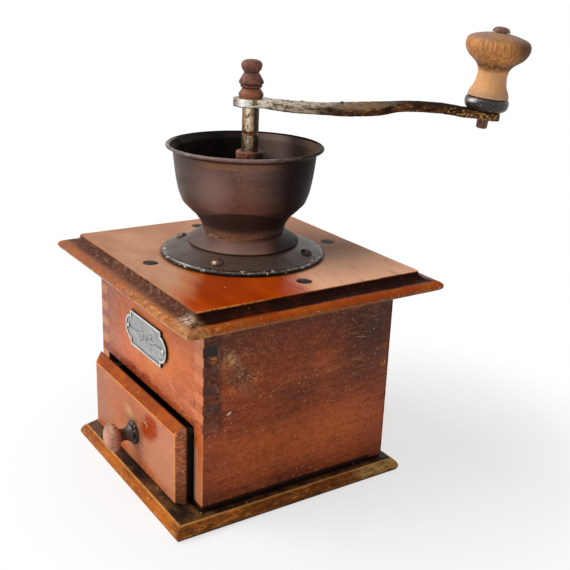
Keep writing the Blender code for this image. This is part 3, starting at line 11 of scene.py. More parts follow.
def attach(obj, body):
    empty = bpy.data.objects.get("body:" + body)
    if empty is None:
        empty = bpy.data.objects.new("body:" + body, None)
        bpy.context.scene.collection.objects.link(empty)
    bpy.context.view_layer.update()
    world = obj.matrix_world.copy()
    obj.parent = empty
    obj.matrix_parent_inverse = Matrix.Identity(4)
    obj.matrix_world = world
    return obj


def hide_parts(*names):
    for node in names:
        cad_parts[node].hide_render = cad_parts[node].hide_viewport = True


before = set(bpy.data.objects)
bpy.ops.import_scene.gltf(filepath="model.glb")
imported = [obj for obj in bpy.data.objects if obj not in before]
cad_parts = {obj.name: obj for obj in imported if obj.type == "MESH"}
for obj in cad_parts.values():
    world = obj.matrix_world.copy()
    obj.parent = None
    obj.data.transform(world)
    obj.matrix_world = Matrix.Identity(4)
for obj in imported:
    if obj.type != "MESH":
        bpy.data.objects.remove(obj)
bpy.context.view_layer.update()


# ---- Base board
# A softwood board under the case, wider in front, with a broad chamfer and one corner worn away.
# Its varnish is dark with grime on the flat and worn golden on the chamfer.
# Its right end is painted darker as painted shade, and a near-black painted shadow line runs round the foot of
# the case.

now = {}  # the node tree of the material at hand and its colour so far


def new_finish(name, roughness, metallic=0.0, specular=0.5):
    """Starts a node material with one Principled shader. The steps that follow go into it."""
    material = bpy.data.materials.new(name)
    material.use_nodes = True
    now["tree"] = material.node_tree
    shader = now["tree"].nodes["Principled BSDF"]
    shader.inputs["Roughness"].default_value = roughness
    shader.inputs["Metallic"].default_value = metallic
    shader.inputs["Specular IOR Level"].default_value = specular
    return material


def add_step(kind, inputs, output=0, **settings):
    """Adds a node to the material at hand, sets or links its inputs, and gives one output."""
    step = now["tree"].nodes.new(kind)
    for name, value in settings.items():
        setattr(step, name, value)
    for key, value in inputs.items():
        if isinstance(value, bpy.types.NodeSocket):
            now["tree"].links.new(value, step.inputs[key])
        else:
            step.inputs[key].default_value = value
    return step.outputs[output]


def cells(size, middle=(0, 0, 0), turn=(0, 0, 0)):
    """The place on the piece, counted in cells of that size from a middle, along turned axes."""
    place = add_step("ShaderNodeTexCoord", {}, "Object")
    inputs = {"Vector": place, "Location": middle, "Rotation": turn, "Scale": size}
    return add_step("ShaderNodeMapping", inputs, vector_type="TEXTURE")


def cloud(grid, detail=3.0, roughness=0.55, distortion=0.0):
    """Soft noise with one cell to each unit of the grid, or of a size that is given in its stead."""
    if not isinstance(grid, bpy.types.NodeSocket):
        grid = cells(grid if isinstance(grid, tuple) else (grid, grid, grid))
    inputs = {"Vector": grid, "Scale": 1.0, "Detail": detail, "Roughness": roughness, "Distortion": distortion}
    return add_step("ShaderNodeTexNoise", inputs, "Fac")


def ramp(value, start, end, low=0.0, high=1.0):
    """Goes smoothly from low to high while the value goes from start to end."""
    inputs = {"Value": value, "From Min": start, "From Max": end, "To Min": low, "To Max": high}
    return add_step("ShaderNodeMapRange", inputs, interpolation_type="SMOOTHSTEP")


def sums(operation, first, second=0.0):
    """One sum of two values."""
    return add_step("ShaderNodeMath", {0: first, 1: second}, operation=operation)


def tint(share, under, over):
    """Lays one colour over another by a share."""
    colours = {6: under, 7: over}
    inputs = {key: (*value, 1.0) if isinstance(value, tuple) else value for key, value in colours.items()}
    inputs[0] = share
    return add_step("ShaderNodeMix", inputs, 2, data_type="RGBA")


def both(*values):
    """The product of values."""
    total = values[0]
    for value in values[1:]:
        total = sums("MULTIPLY", total, value)
    return total


def coat(share, under, over):
    """Starts the colour of the material at hand as a mix of two tones."""
    now["colour"] = tint(share, under, over)


def lay(tone, *shares):
    """Lays a tone over the colour of the material at hand, by the product of the shares."""
    now["colour"] = tint(both(*shares), now["colour"], tone)


def either(share, first, second):
    """Goes from the first value to the second by a share."""
    return add_step("ShaderNodeMix", {0: share, 2: first, 3: second})


def band(value, low, high, ease):
    """One while the value lies between low and high, fading over the ease outside them."""
    return both(ramp(value, low - ease, low), ramp(value, high + ease, high))


def lines(grid, width=0.03, detail=3.0):
    """Thin winding lines, like scratches and cracks."""
    away = sums("ABSOLUTE", sums("SUBTRACT", cloud(grid, detail), 0.5))
    return ramp(away, width, width * 0.3)


def axis_of(grid, axis):
    """One axis of a grid."""
    return add_step("ShaderNodeSeparateXYZ", {0: grid}, axis)


def own(axis):
    """One of the piece's own coordinates."""
    return axis_of(cells((1, 1, 1)), axis)


def near(middle, reach, edge=0.0, turn=(0, 0, 0)):
    """One at a place on the piece, and nothing beyond the reach from it."""
    away = add_step("ShaderNodeVectorMath", {0: cells(reach, middle, turn)}, 1, operation="LENGTH")
    return ramp(away, 1.0, edge)


def specks(size, share, radius=0.32):
    """Small scattered dots, in a share of cells of that size."""
    dots = now["tree"].nodes.new("ShaderNodeTexVoronoi")
    now["tree"].links.new(cells((size, size, size)), dots.inputs["Vector"])
    dots.inputs["Scale"].default_value = 1.0
    round_dot = ramp(dots.outputs["Distance"], radius, radius * 0.6)
    return both(round_dot, sums("LESS_THAN", axis_of(dots.outputs["Color"], 0), share))


def arris(low, high, width):
    """One on the arrises of a straight board, fading out over an uneven width."""
    middle = [(a + b) / 2 for a, b in zip(low, high)]
    grid = cells((1, 1, 1), middle)
    depths = []
    for axis in range(3):
        away = sums("ABSOLUTE", axis_of(grid, axis))
        depths.append(sums("SUBTRACT", (high[axis] - low[axis]) / 2, away))
    least = sums("MINIMUM", sums("MINIMUM", depths[0], depths[1]), depths[2])
    most = sums("MAXIMUM", sums("MAXIMUM", depths[0], depths[1]), depths[2])
    total = sums("ADD", sums("ADD", depths[0], depths[1]), depths[2])
    second = sums("SUBTRACT", sums("SUBTRACT", total, least), most)
    uneven = ramp(cloud(0.006, 5.0, 0.7), 0.3, 0.75, 0.15, 1.6)
    return ramp(second, both(uneven, width), 0.0)


def set_look(roughness=None, height=None, depth=0.0002, metallic=None, specular=None):
    """Gives the shader its finished colour, roughness, fine relief, metal share and shine."""
    shader = now["tree"].nodes["Principled BSDF"]
    wanted = {"Base Color": now["colour"], "Roughness": roughness, "Metallic": metallic,
              "Specular IOR Level": specular}
    if height is not None:
        wanted["Normal"] = add_step("ShaderNodeBump", {"Height": height, "Distance": depth, "Strength": 1.0})
    for name, value in wanted.items():
        if value is not None:
            now["tree"].links.new(value, shader.inputs[name])


def grain(light, dark, turn=(0, 0, 0), streak=0.55):
    """Varnished wood: broad clouds, growth bands and fine pores that run along the turned X axis."""
    broad = cloud(cells((0.05, 0.018, 0.018), turn=turn))
    bands = cloud(cells((0.11, 0.0042, 0.0042), turn=turn), 4.0, 0.6, 0.6)
    pores = cloud(cells((0.009, 0.00035, 0.00035), turn=turn), 2.0)
    coat(ramp(broad, 0.3, 0.7), light, dark)
    lay(dark, ramp(bands, 0.42, 0.66, 0.0, streak))
    lay(tuple(value * 0.45 for value in dark), ramp(pores, 0.52, 0.78, 0.0, 0.5))
    return both(pores, -1.0)


def softened(node, ease, segments=2, angle=30):
    """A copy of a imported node, merged, with its sharp arrises eased."""
    bm = bmesh.new()
    bm.from_mesh(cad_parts[node].data)
    bmesh.ops.remove_doubles(bm, verts=bm.verts, dist=0.00001)
    bmesh.ops.dissolve_limit(bm, angle_limit=radians(1), verts=bm.verts, edges=bm.edges)
    sharp = [e for e in bm.edges if len(e.link_faces) == 2 and e.calc_face_angle(0) > radians(angle)]
    bmesh.ops.bevel(bm, geom=sharp, offset=ease, offset_type="OFFSET", segments=segments, profile=0.5,
                    affect="EDGES", clamp_overlap=True, material=-1)
    return bm


def grown(bm, step):
    """Moves every face of a solid outwards, so that the seams between glued boards close."""
    bm.normal_update()
    for v, move in [(v, v.normal * v.calc_shell_factor() * step) for v in bm.verts]:
        v.co += move
    return bm


def finished(name, bm, material, body, nodes, angle=35):
    """Makes the piece, which rides on its body and stands for its nodes."""
    bmesh.ops.recalc_face_normals(bm, faces=bm.faces)
    mesh = bpy.data.meshes.new(name)
    bm.to_mesh(mesh)
    bm.free()
    mesh.shade_smooth()
    mesh.set_sharp_from_angle(angle=radians(angle))
    mesh.materials.append(material)
    piece = bpy.data.objects.new(name, mesh)
    bpy.context.scene.collection.objects.link(piece)
    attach(piece, body)
    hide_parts(*nodes)
    return piece


def carried(material, *nodes):
    """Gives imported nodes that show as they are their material."""
    for node in nodes:
        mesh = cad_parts[node].data
        mesh.materials.clear()
        mesh.materials.append(material)


BASE_TOP = 0.0072
BASE_GOLD = (0.66, 0.185, 0.012)
BASE_BROWN = (0.3, 0.07, 0.008)
BASE_GRIME = (0.022, 0.01, 0.007)

base_wood = new_finish("base_wood", 0.45, specular=0.06)
relief = grain(BASE_GOLD, BASE_BROWN)
across, depth_y, height = (own(axis) for axis in range(3))
right_end = ramp(across, 0.055, 0.066)
stain = cloud((0.02, 0.02, 0.006), 5.0, 0.65)
# Painted shade: the right end, which faces away from the light, is laid over with darker brown, mottled by the
# stain cloud.
lay((0.17, 0.048, 0.007), right_end, ramp(stain, 0.35, 0.6, 0.45, 0.95))
far_left = ramp(across, -0.01, -0.05, 0.0, 0.8)
lay((0.24, 0.062, 0.012), far_left)
gilt = both(near((0.068, 0.052, 0.004), (0.03, 0.026, 0.02), 0.3), ramp(stain, 0.38, 0.55))
lay((0.62, 0.36, 0.12), gilt)
scraped = cloud((0.004, 0.004, 0.0015), 6.0, 0.75)
marbled = cloud((0.01, 0.01, 0.0032), 5.0, 0.65, 0.6)
lay((0.17, 0.045, 0.008), ramp(marbled, 0.54, 0.66, 0.0, 0.7))
lay((0.72, 0.27, 0.04), ramp(marbled, 0.44, 0.34, 0.0, 0.5))
low_edge = ramp(height, 0.0062, 0.003)
worn = both(ramp(scraped, 0.5, 0.66), low_edge)
lay((0.6, 0.32, 0.11), worn, 0.6)
roughened = cloud((0.0045, 0.007, 0.0022), 6.0, 0.8)
burnt = both(right_end, ramp(roughened, 0.5, 0.58), 0.65)
lay((0.05, 0.022, 0.008), burnt)
sparks = both(right_end, ramp(roughened, 0.44, 0.36), ramp(height, 0.0062, 0.004, 0.25, 0.8))
lay((0.62, 0.3, 0.055), sparks)
low_arris = both(ramp(height, 0.0022, 0.001), ramp(scraped, 0.4, 0.54, 0.2, 0.8),
                 ramp(right_end, 0.0, 1.0, 1.0, 0.25))
lay((0.82, 0.46, 0.14), low_arris)
foot_dark = both(ramp(height, 0.002, 0.0008), right_end, 0.8)
lay((0.03, 0.016, 0.008), foot_dark)
top_arris = both(ramp(height, 0.0062, 0.0069), ramp(scraped, 0.36, 0.52, 0.2, 0.8))
lay((0.74, 0.36, 0.1), top_arris)
flat = ramp(height, BASE_TOP - 0.0005, BASE_TOP - 0.0001)
soiled = ramp(cloud((0.015, 0.01, 0.01), 4.0), 0.3, 0.62, 0.8, 1.0)
lay(BASE_GRIME, flat, soiled)
brown_end = both(flat, ramp(across, -0.03, -0.06), 0.35)
lay((0.115, 0.058, 0.026), brown_end)
# Painted shadow: a near-black line on the flat round the foot of the case.
case_foot_shadow = both(flat, ramp(sums("ABSOLUTE", across), 0.0632, 0.0618), ramp(depth_y, -0.059, -0.0568))
lay((0.006, 0.004, 0.003), case_foot_shadow, 0.9)
under = ramp(height, 0.0004, 0.0001)
lay((0.3, 0.17, 0.085), under)
lay((0.75, 0.52, 0.3), specks(0.0017, 0.045, 0.24))
rough = ramp(stain, 0.3, 0.7, 0.3, 0.5)
set_look(rough, sums("ADD", relief, scraped), 0.00012)

base_bm = softened("base_board", 0.00045)
finished("base_board_piece", base_bm, base_wood, "case", ["base_board"])


# ---- Side boards of the case
# Two boards whose fingers show as end grain on the front, under a deep red brown varnish.
# The right one is dark at its front edge, scuffed pale beside it and flecked all over.
# Both are painted darker towards the top as painted shade under the top board, and a painted shadow line runs
# along their foot.

SIDE_RED = (0.46, 0.09, 0.02)
SIDE_DARK = (0.25, 0.044, 0.013)
SIDE_SMOKE = (0.115, 0.026, 0.012)
SOOT = (0.058, 0.021, 0.013)
FINGER_LOW, FINGER_STEP = 0.0495, 0.0098
SIDE_X = 0.06


def side_tones(colour):
    """The clouds, the painted shade at the top under the top board and the glowing patches that both the sides
    and the finger ends carry.
    """
    smoke = cloud((0.05, 0.05, 0.022), 4.0, 0.62, 0.5)
    colour = tint(ramp(smoke, 0.45, 0.66, 0.0, 0.7), colour, SIDE_SMOKE)
    glow = near((SIDE_X, -0.02, 0.034), (0.04, 0.036, 0.022))
    colour = tint(both(glow, 0.6), colour, (0.56, 0.115, 0.018))
    glow = near((SIDE_X, 0.024, 0.032), (0.04, 0.046, 0.028))
    colour = tint(both(glow, 0.85), colour, (0.64, 0.135, 0.032))
    height = own(2)
    # Painted shade: darker towards the top, where the top board's overhang shades the case.
    colour = tint(ramp(height, 0.076, 0.1, 0.0, 0.75), colour, (0.085, 0.028, 0.016))
    back_edge = near((SIDE_X, 0.042, 0.082), (0.04, 0.036, 0.038))
    return tint(both(back_edge, 0.95), colour, (0.04, 0.009, 0.004)), smoke


side_wood = new_finish("side_wood", 0.45, specular=0.14)
relief = grain(SIDE_RED, SIDE_DARK, (0, 0, radians(90)))
now["colour"], smoke = side_tones(now["colour"])
across, depth_y, height = (own(axis) for axis in range(3))
grit = cloud(0.0028, 5.0, 0.72)
sooty = both(ramp(depth_y, -0.044, -0.0482), ramp(height, 0.04, 0.058), ramp(grit, 0.62, 0.42, 0.35, 0.95))
lay(SOOT, sooty)
scuffed = near((SIDE_X, -0.0385, 0.08), (0.03, 0.0235, 0.01), 0.2, (radians(-62), 0, 0))
tan_patch = near((SIDE_X, -0.0412, 0.085), (0.03, 0.0068, 0.0062))
haze = cloud(0.009, 4.0, 0.65)
lay((0.2, 0.105, 0.062), scuffed, ramp(haze, 0.42, 0.6, 0.0, 0.4))
web = lines(cells((0.006, 0.0075, 0.005), turn=(radians(30), 0, 0)), 0.022, 2.0)
webbed = near((SIDE_X, -0.034, 0.086), (0.03, 0.026, 0.023), 0.2)
lay((0.36, 0.2, 0.12), webbed, web, 0.45)
mottle = cloud(cells((0.0045, 0.015, 0.0015), turn=(radians(5), 0, 0)), 6.0, 0.7)
lay((0.075, 0.019, 0.011), ramp(mottle, 0.52, 0.68, 0.0, 0.45))
lay((0.46, 0.135, 0.05), ramp(mottle, 0.46, 0.34, 0.0, 0.4))
fray = cloud((0.003, 0.0026, 0.0026), 8.0, 0.9)
tooth = cloud((0.0022, 0.0024, 0.0014), 6.0, 0.9)
lay((0.045, 0.014, 0.008), ramp(tooth, 0.51, 0.64, 0.0, 0.7))
lay((0.56, 0.19, 0.075), ramp(tooth, 0.48, 0.35, 0.0, 0.45))
lay((0.36, 0.185, 0.105), scuffed, ramp(fray, 0.51, 0.57), 0.8)
lay((0.6, 0.34, 0.175), tan_patch, ramp(fray, 0.46, 0.54))
lay((0.04, 0.016, 0.01), scuffed, ramp(fray, 0.46, 0.41), 0.85)
lay((0.74, 0.47, 0.27), scuffed, ramp(fray, 0.6, 0.63))
fog = near((SIDE_X, 0.01, 0.066), (0.03, 0.046, 0.02))
lay((0.36, 0.175, 0.105), fog, ramp(fray, 0.5, 0.62), 0.55)
pits = both(scuffed, ramp(cloud(0.0013), 0.6, 0.66))
lay((0.03, 0.012, 0.008), pits)
flakes = ramp(cloud((0.0013, 0.0011, 0.0011), 4.0, 0.7), 0.5, 0.53)
OCHRE_SPOTS = (
    (-0.0271, 0.0735, 0.0062, (0.68, 0.2, 0.05)), (-0.0435, 0.0832, 0.0042, (0.6, 0.19, 0.05)),
    (-0.0401, 0.0683, 0.0036, (0.62, 0.16, 0.04)), (-0.0412, 0.0848, 0.0034, (0.72, 0.36, 0.13)),
    (-0.0506, 0.0871, 0.0032, (0.66, 0.24, 0.06)), (0.0528, 0.063, 0.0034, (0.78, 0.36, 0.08)),
    (0.0523, 0.069, 0.005, (0.4, 0.17, 0.05)), (0.0545, 0.05, 0.0032, (0.66, 0.32, 0.08)),
    (0.0532, 0.06, 0.003, (0.6, 0.24, 0.06)),
)
for spot_y, spot_z, reach, ochre in OCHRE_SPOTS:
    chafed = both(near((SIDE_X, spot_y, spot_z), (0.02, reach, reach)), flakes)
    lay(ochre, chafed)
on_front = ramp(depth_y, -0.0557, -0.056)
end_tone = cloud((0.004, 0.01, 0.012), 4.0, 0.6)
end_colour = tint(ramp(end_tone, 0.35, 0.65), (0.68, 0.2, 0.078), (0.6, 0.165, 0.062))
on_left = ramp(across, 0.0, -0.01)
end_colour = tint(on_left, end_colour, (0.4, 0.115, 0.055))
right_strip = both(ramp(across, 0.0, 0.01), ramp(fray, 0.4, 0.6, 0.2, 0.9),
                   ramp(height, 0.07, 0.094, 0.05, 0.9))
end_colour = tint(right_strip, end_colour, (0.7, 0.32, 0.19))
lay(end_colour, on_front)
below = both(on_front, ramp(height, 0.0555, 0.0515), ramp(grit, 0.35, 0.6, 0.45, 0.95))
pale_strip = both(ramp(sums("ABSOLUTE", across), 0.0562, 0.0545), ramp(height, 0.044, 0.036),
                  ramp(fray, 0.4, 0.56, 0.3, 1.0), 0.9)
below_tone = tint(pale_strip, tint(ramp(height, 0.02, 0.04), (0.56, 0.165, 0.05), (0.52, 0.092, 0.01)),
                  (0.66, 0.39, 0.27))
lay(below_tone, below)
edges = arris((0.0518, -0.056, 0.0075), (0.06, 0.056, 0.1055), 0.0006)
lay((0.62, 0.32, 0.17), edges, 0.6)
dusty = ramp(cloud(0.02), 0.4, 0.6, 0.2, 1.0)
flecks = both(specks(0.003, 0.3, 0.145), dusty)
lay((0.76, 0.4, 0.24), flecks, 0.85)
fine = both(specks(0.0019, 0.4, 0.2), ramp(height, 0.095, 0.03, 0.3, 1.0))
lay((0.58, 0.23, 0.12), fine, 0.6)
clusters = near((SIDE_X, 0.018, 0.0495), (0.03, 0.024, 0.012), 0.1)
lay((0.62, 0.3, 0.19), clusters, specks(0.0021, 0.6, 0.24), 0.6)
nick = near((SIDE_X, -0.0418, 0.0569), (0.02, 0.0019, 0.0005), 0.4, (radians(32), 0, 0))
for spot_y, spot_z in ((-0.0014, 0.0638), (-0.0241, 0.062), (-0.0181, 0.0602), (-0.0545, 0.0724)):
    dot = near((SIDE_X, spot_y, spot_z), (0.02, 0.0005, 0.00038), 0.0, (radians(25), 0, 0))
    nick = sums("MAXIMUM", nick, dot)
lay((0.95, 0.85, 0.78), nick)
for start_y, start_z, half, lean in ((0.0368, 0.0815, 0.0064, -8), (0.0365, 0.069, 0.009, -6),
                                     (0.033, 0.06, 0.006, -4)):
    hair = near((SIDE_X, start_y, start_z), (0.02, half, 0.00026), 0.3, (radians(lean), 0, 0))
    lay((0.52, 0.27, 0.18), hair, ramp(fray, 0.42, 0.54, 0.0, 0.8))
scratch_grid = cells((0.009, 0.007, 0.00045), turn=(radians(14), 0, 0))
scratches = both(ramp(cloud(scratch_grid, 2.0), 0.69, 0.76), dusty)
lay((0.6, 0.34, 0.22), scratches, 0.4)
# Painted shadow: a near-black line along the foot of the board, where it meets the base.
foot = ramp(height, 0.0098, 0.009, 0.0, 0.95)
lay((0.008, 0.004, 0.003), foot)
back_line = both(ramp(depth_y, 0.0546, 0.0556), ramp(fray, 0.58, 0.5), 0.9)
lay((0.01, 0.006, 0.005), back_line)
rough = ramp(smoke, 0.35, 0.7, 0.34, 0.55)
set_look(rough, sums("ADD", relief, both(fray, scuffed)), 0.00016)

for side in ("left", "right"):
    side_bm = grown(softened(f"case_side_{side}", 0.00005, 1), 0.00015)
    finished(f"case_side_{side}_piece", side_bm, side_wood, "case", [f"case_side_{side}"])


# ---- Front and back panels
# Boards jointed between the sides. The front one, above the drawer, is faded salmon with an orange glow
# round the badge; its fingers end dark on the sides, with a pale line of worn varnish round some of them.

PANEL_SALMON = (0.67, 0.168, 0.052)
PANEL_RED = (0.5, 0.11, 0.03)
PANEL_GLOW = (0.76, 0.215, 0.03)
PANEL_Y = -0.056

panel_wood = new_finish("panel_wood", 0.42, specular=0.28)
relief = grain(PANEL_SALMON, PANEL_RED, streak=0.35)
across, depth_y, height = (own(axis) for axis in range(3))
glow = near((0.004, PANEL_Y, 0.076), (0.042, 0.02, 0.022), 0.2)
lay(PANEL_GLOW, glow, 0.7)
dull = near((-0.06, PANEL_Y, 0.082), (0.042, 0.02, 0.05), 0.2)
lay((0.27, 0.074, 0.036), dull, 0.9)
blotches = cloud((0.012, 0.012, 0.009), 5.0, 0.65)
lay((0.36, 0.075, 0.022), ramp(blotches, 0.52, 0.68, 0.0, 0.35))
facing = ramp(depth_y, 0.0, -0.01)
ragged = sums("ADD", height, ramp(blotches, 0.3, 0.7, -0.0016, 0.0016))
low_strip = both(ramp(ragged, 0.0556, 0.053), facing)
strip_tone = tint(ramp(across, 0.018, 0.046), (0.34, 0.042, 0.003), (0.58, 0.105, 0.01))
lay(strip_tone, low_strip, 0.95)
burnt = both(low_strip, ramp(cloud((0.003, 0.01, 0.0015), 4.0), 0.52, 0.62))
lay((0.12, 0.018, 0.006), burnt)
weathered = cloud((0.004, 0.004, 0.0024), 6.0, 0.75)
lay((0.34, 0.07, 0.026), ramp(weathered, 0.54, 0.66, 0.0, 0.4))
lay((0.72, 0.26, 0.11), ramp(weathered, 0.46, 0.36, 0.0, 0.35))
tooth = cloud((0.0012, 0.0012, 0.0009), 5.0, 0.8)
lay((0.26, 0.052, 0.018), ramp(tooth, 0.52, 0.68, 0.0, 0.35))
lay((0.86, 0.36, 0.17), ramp(tooth, 0.48, 0.34, 0.0, 0.22))
rubbed = cloud(cells((0.009, 0.006, 0.0011), turn=(0, radians(16), 0)), 6.0, 0.72)
rub_zone = near((0.04, PANEL_Y, 0.058), (0.032, 0.02, 0.013))
lay((0.74, 0.36, 0.2), ramp(rubbed, 0.5, 0.64), rub_zone, 0.8)
aside = sums("ABSOLUTE", across)
crack_grid = cells((0.05, 0.05, 0.0052), middle=(0, 0, 0.002))
column = both(ramp(across, 0.049, 0.055), ramp(weathered, 0.4, 0.6, 0.2, 0.9),
              ramp(height, 0.07, 0.094, 0.05, 0.9))
lay((0.7, 0.32, 0.19), column)
crack = both(ramp(aside, 0.0512, 0.05145), ramp(aside, 0.0522, 0.05195), ramp(depth_y, -0.054, -0.055),
             ramp(cloud(crack_grid, 2.0), 0.52, 0.57))
lay((0.055, 0.02, 0.01), crack)
finger_end = ramp(aside, 0.0597, 0.06)
# The finger ends take the sides' tones, with their painted shade under the top board.
end_colour = side_tones((0.27, 0.058, 0.018))[0]
grit = cloud(0.0028, 5.0, 0.72)
at_front = ramp(depth_y, -0.04, -0.045)
soot = both(at_front, ramp(height, 0.046, 0.06), ramp(grit, 0.62, 0.42, 0.4, 0.98))
end_colour = tint(soot, end_colour, SOOT)
topmost = both(at_front, ramp(height, 0.0882, 0.0886), ramp(height, 0.0942, 0.0938), ramp(across, 0.0, 0.01))
end_colour = tint(both(topmost, 0.92), end_colour, (0.014, 0.007, 0.006))
phase = sums("DIVIDE", sums("SUBTRACT", height, FINGER_LOW + FINGER_STEP / 4), FINGER_STEP / 2)
from_edge = sums("ABSOLUTE", sums("SUBTRACT", sums("FRACT", phase), 0.5))
rim = sums("MAXIMUM", ramp(from_edge, 0.07, 0.03), ramp(depth_y, -0.0488, -0.0483))
rim = both(rim, at_front, ramp(grit, 0.46, 0.56), ramp(height, 0.096, 0.082, 0.25, 0.6))
end_colour = tint(rim, end_colour, (0.42, 0.2, 0.1))
lay(end_colour, finger_end)
flecks = specks(0.0028, 0.12, 0.15)
lay((0.85, 0.52, 0.34), flecks, 0.6)
rough = ramp(blotches, 0.3, 0.7, 0.34, 0.52)
set_look(rough, relief, 0.0001)

for place_name in ("front", "back"):
    panel_bm = grown(softened(f"case_{place_name}_panel", 0.00005, 1), 0.00015)
    finished(f"case_{place_name}_panel_piece", panel_bm, panel_wood, "case",
             [f"case_{place_name}_panel"])


# ---- Drawer runners
# Two plain softwood strips glued inside the sides, on which the drawer slides.
# They were never varnished and are nearly black with old coffee and dirt.

runner_wood = new_finish("runner_wood", 0.7, specular=0.3)
relief = grain((0.085, 0.045, 0.024), (0.045, 0.024, 0.014), (0, 0, radians(90)))
set_look(None, relief, 0.00015)
carried(runner_wood, "drawer_runner_left", "drawer_runner_right")


# ---- Top board
# A varnished board with a raised field, a dark cove and a rounded nose, worn bright along its arrises.
# Its front right corner is bruised down to pale wood.
# The cove is painted darker at its ends than at its front as painted shade.
# The pale pinkish sheen over the back and the left of the field is painted reflection, painted brighter still
# on the right, over the hopper's shadow.

BOARD_LOW = 0.1058
BOARD_TOP = 0.1158
NOSE_X = 0.0782
NOSE_Y = 0.0742
NOSE_LOW = 0.1082
NOSE_HIGH = 0.1096
MOULDING_WIDTH = 0.0098
MOULDING_SHARES = (
    (0.067, 0.113), (0.11, 0.105), (0.12, 0.065), (0.09, 0.012), (0.11, 0.008), (0.11, 0.022), (0.13, 0.07),
    (0.11, 0.12), (0.08, 0.145), (0.02, 0.016), (0.01, 0.004), (0.03, 0.308), (0.013, 0.012),
)
UNDERCUT = ((0.0003, 0.00072), (0.00069, 0.00067), (0.00201, 0.00101))
FIELD_ORANGE = (0.49, 0.062, 0.001)
FIELD_BROWN = (0.34, 0.036, 0.001)
FIELD_SHEEN = (0.43, 0.185, 0.09)
NOSE_ORANGE = (0.34, 0.066, 0.002)
SPINDLE_X, SPINDLE_Y = 0.0013, 0.002
THROAT = 0.0164
TOP_SPOTS = {"front": (-0.0043, -0.0518, 40), "right": (0.0552, 0.0023, 75), "back": (0.0048, 0.0526, 20),
             "left": (-0.0552, 0.003, 105)}

top_wood = new_finish("top_wood", 0.2)
relief = grain(FIELD_ORANGE, FIELD_BROWN, streak=0.5)
across, depth_y, height = (own(axis) for axis in range(3))
# Painted reflection: towards the back the field is laid over with a pale pinkish sheen, brighter on the right,
# where it also makes up for the hopper's shadow.
field_cloud = cloud((0.05, 0.03, 0.03))
away = sums("ADD", depth_y, both(across, 0.265))
weathered = cloud((0.02, 0.004, 0.004), 5.0, 0.65)
away = sums("ADD", away, ramp(weathered, 0.3, 0.7, -0.003, 0.003))
painted_sheen_back = ramp(away, 0.007, 0.025)
sheen_tone = tint(ramp(field_cloud, 0.35, 0.65), FIELD_SHEEN, (0.36, 0.145, 0.066))
sheen_tone = tint(ramp(across, 0.012, 0.042), sheen_tone, (0.88, 0.44, 0.25))
sheen_tone = tint(ramp(weathered, 0.52, 0.68, 0.0, 0.4), sheen_tone, (0.34, 0.14, 0.066))
lay(sheen_tone, painted_sheen_back)
# Painted reflection: towards the front left the field goes through an orange band into a pale sheen.
slant = sums("ADD", both(across, 0.737), depth_y)
streaky = cloud((0.03, 0.006, 0.01), 4.0)
slant = sums("ADD", slant, ramp(streaky, 0.3, 0.7, -0.003, 0.003))
painted_sheen_left = ramp(slant, -0.0265, -0.0355)
lay((0.52, 0.14, 0.024), ramp(slant, -0.015, -0.028))
left_sheen_tone = tint(ramp(field_cloud, 0.35, 0.6), (0.6, 0.29, 0.158), (0.47, 0.2, 0.096))
lay(tint(ramp(weathered, 0.52, 0.68, 0.0, 0.3), left_sheen_tone, (0.44, 0.175, 0.08)), painted_sheen_left)
out_x = sums("SUBTRACT", sums("ABSOLUTE", across), NOSE_X)
out_y = sums("SUBTRACT", sums("ABSOLUTE", depth_y), NOSE_Y)
outward = sums("MAXIMUM", out_x, out_y)
on_end = ramp(sums("SUBTRACT", out_x, out_y), -0.0002, 0.0002)
wobble = cloud(0.012, 5.0, 0.7)
rubbed = cloud(0.0035, 6.0, 0.75)
moulding = sums("MAXIMUM", ramp(outward, -0.0097, -0.0095),
                ramp(height, BOARD_TOP - 0.0002, BOARD_TOP - 0.0005))
nose_tone = tint(ramp(wobble, 0.42, 0.6), NOSE_ORANGE, (0.2, 0.03, 0.003))
front_tone = tint(ramp(wobble, 0.38, 0.6), (0.38, 0.1, 0.018), (0.28, 0.086, 0.034))
lay(tint(on_end, front_tone, nose_tone), moulding)
shifted = sums("ADD", outward, ramp(wobble, 0.3, 0.7, -0.0007, 0.0007))
wide_cove = ramp(shifted, -0.0022, -0.0066)
tight_cove = ramp(shifted, -0.003, -0.0044)
cove = both(moulding, either(on_end, wide_cove, tight_cove), ramp(wobble, 0.64, 0.48, 0.8, 1.0))
# Painted shade: the cove's ends take a much darker copy of its colour than its front, as the shaded and the lit
# sides of the board.
cove_tone = tint(on_end, (0.085, 0.03, 0.017), (0.02, 0.005, 0.003))
lay(cove_tone, cove)
right_fade = ramp(both(on_end, depth_y), -0.05, -0.015, 1.0, 0.25)
field_arris = both(right_fade, ramp(outward, -0.0103, -0.01),
                   ramp(height, BOARD_TOP - 0.0008, BOARD_TOP - 0.0005), ramp(rubbed, 0.36, 0.56, 0.15, 1.0))
lay(tint(on_end, (0.58, 0.22, 0.07), (0.72, 0.26, 0.05)), field_arris)
low_line = both(ramp(height, BOARD_LOW + 0.003, BOARD_LOW + 0.002), ramp(rubbed, 0.4, 0.58, 0.3, 1.0))
lay(tint(on_end, (0.66, 0.38, 0.2), (0.34, 0.17, 0.1)), low_line)
nose = ramp(outward, -0.0036, -0.0012)
worn_share = either(on_end, ramp(across, -0.03, 0.04, 0.15, 1.0),
                    near((0.0782, -0.0742, 0.1095), (0.045, 0.045, 0.03)))
chipped = both(nose, ramp(rubbed, 0.54, 0.62), worn_share)
lay((0.74, 0.4, 0.16), chipped, 0.85)
hollows = both(nose, ramp(rubbed, 0.44, 0.38), ramp(worn_share, 0.0, 1.0, 0.3, 1.0))
lay((0.085, 0.03, 0.012), hollows)
smooth_end = both(on_end, nose, sums("SUBTRACT", 1.0, worn_share))
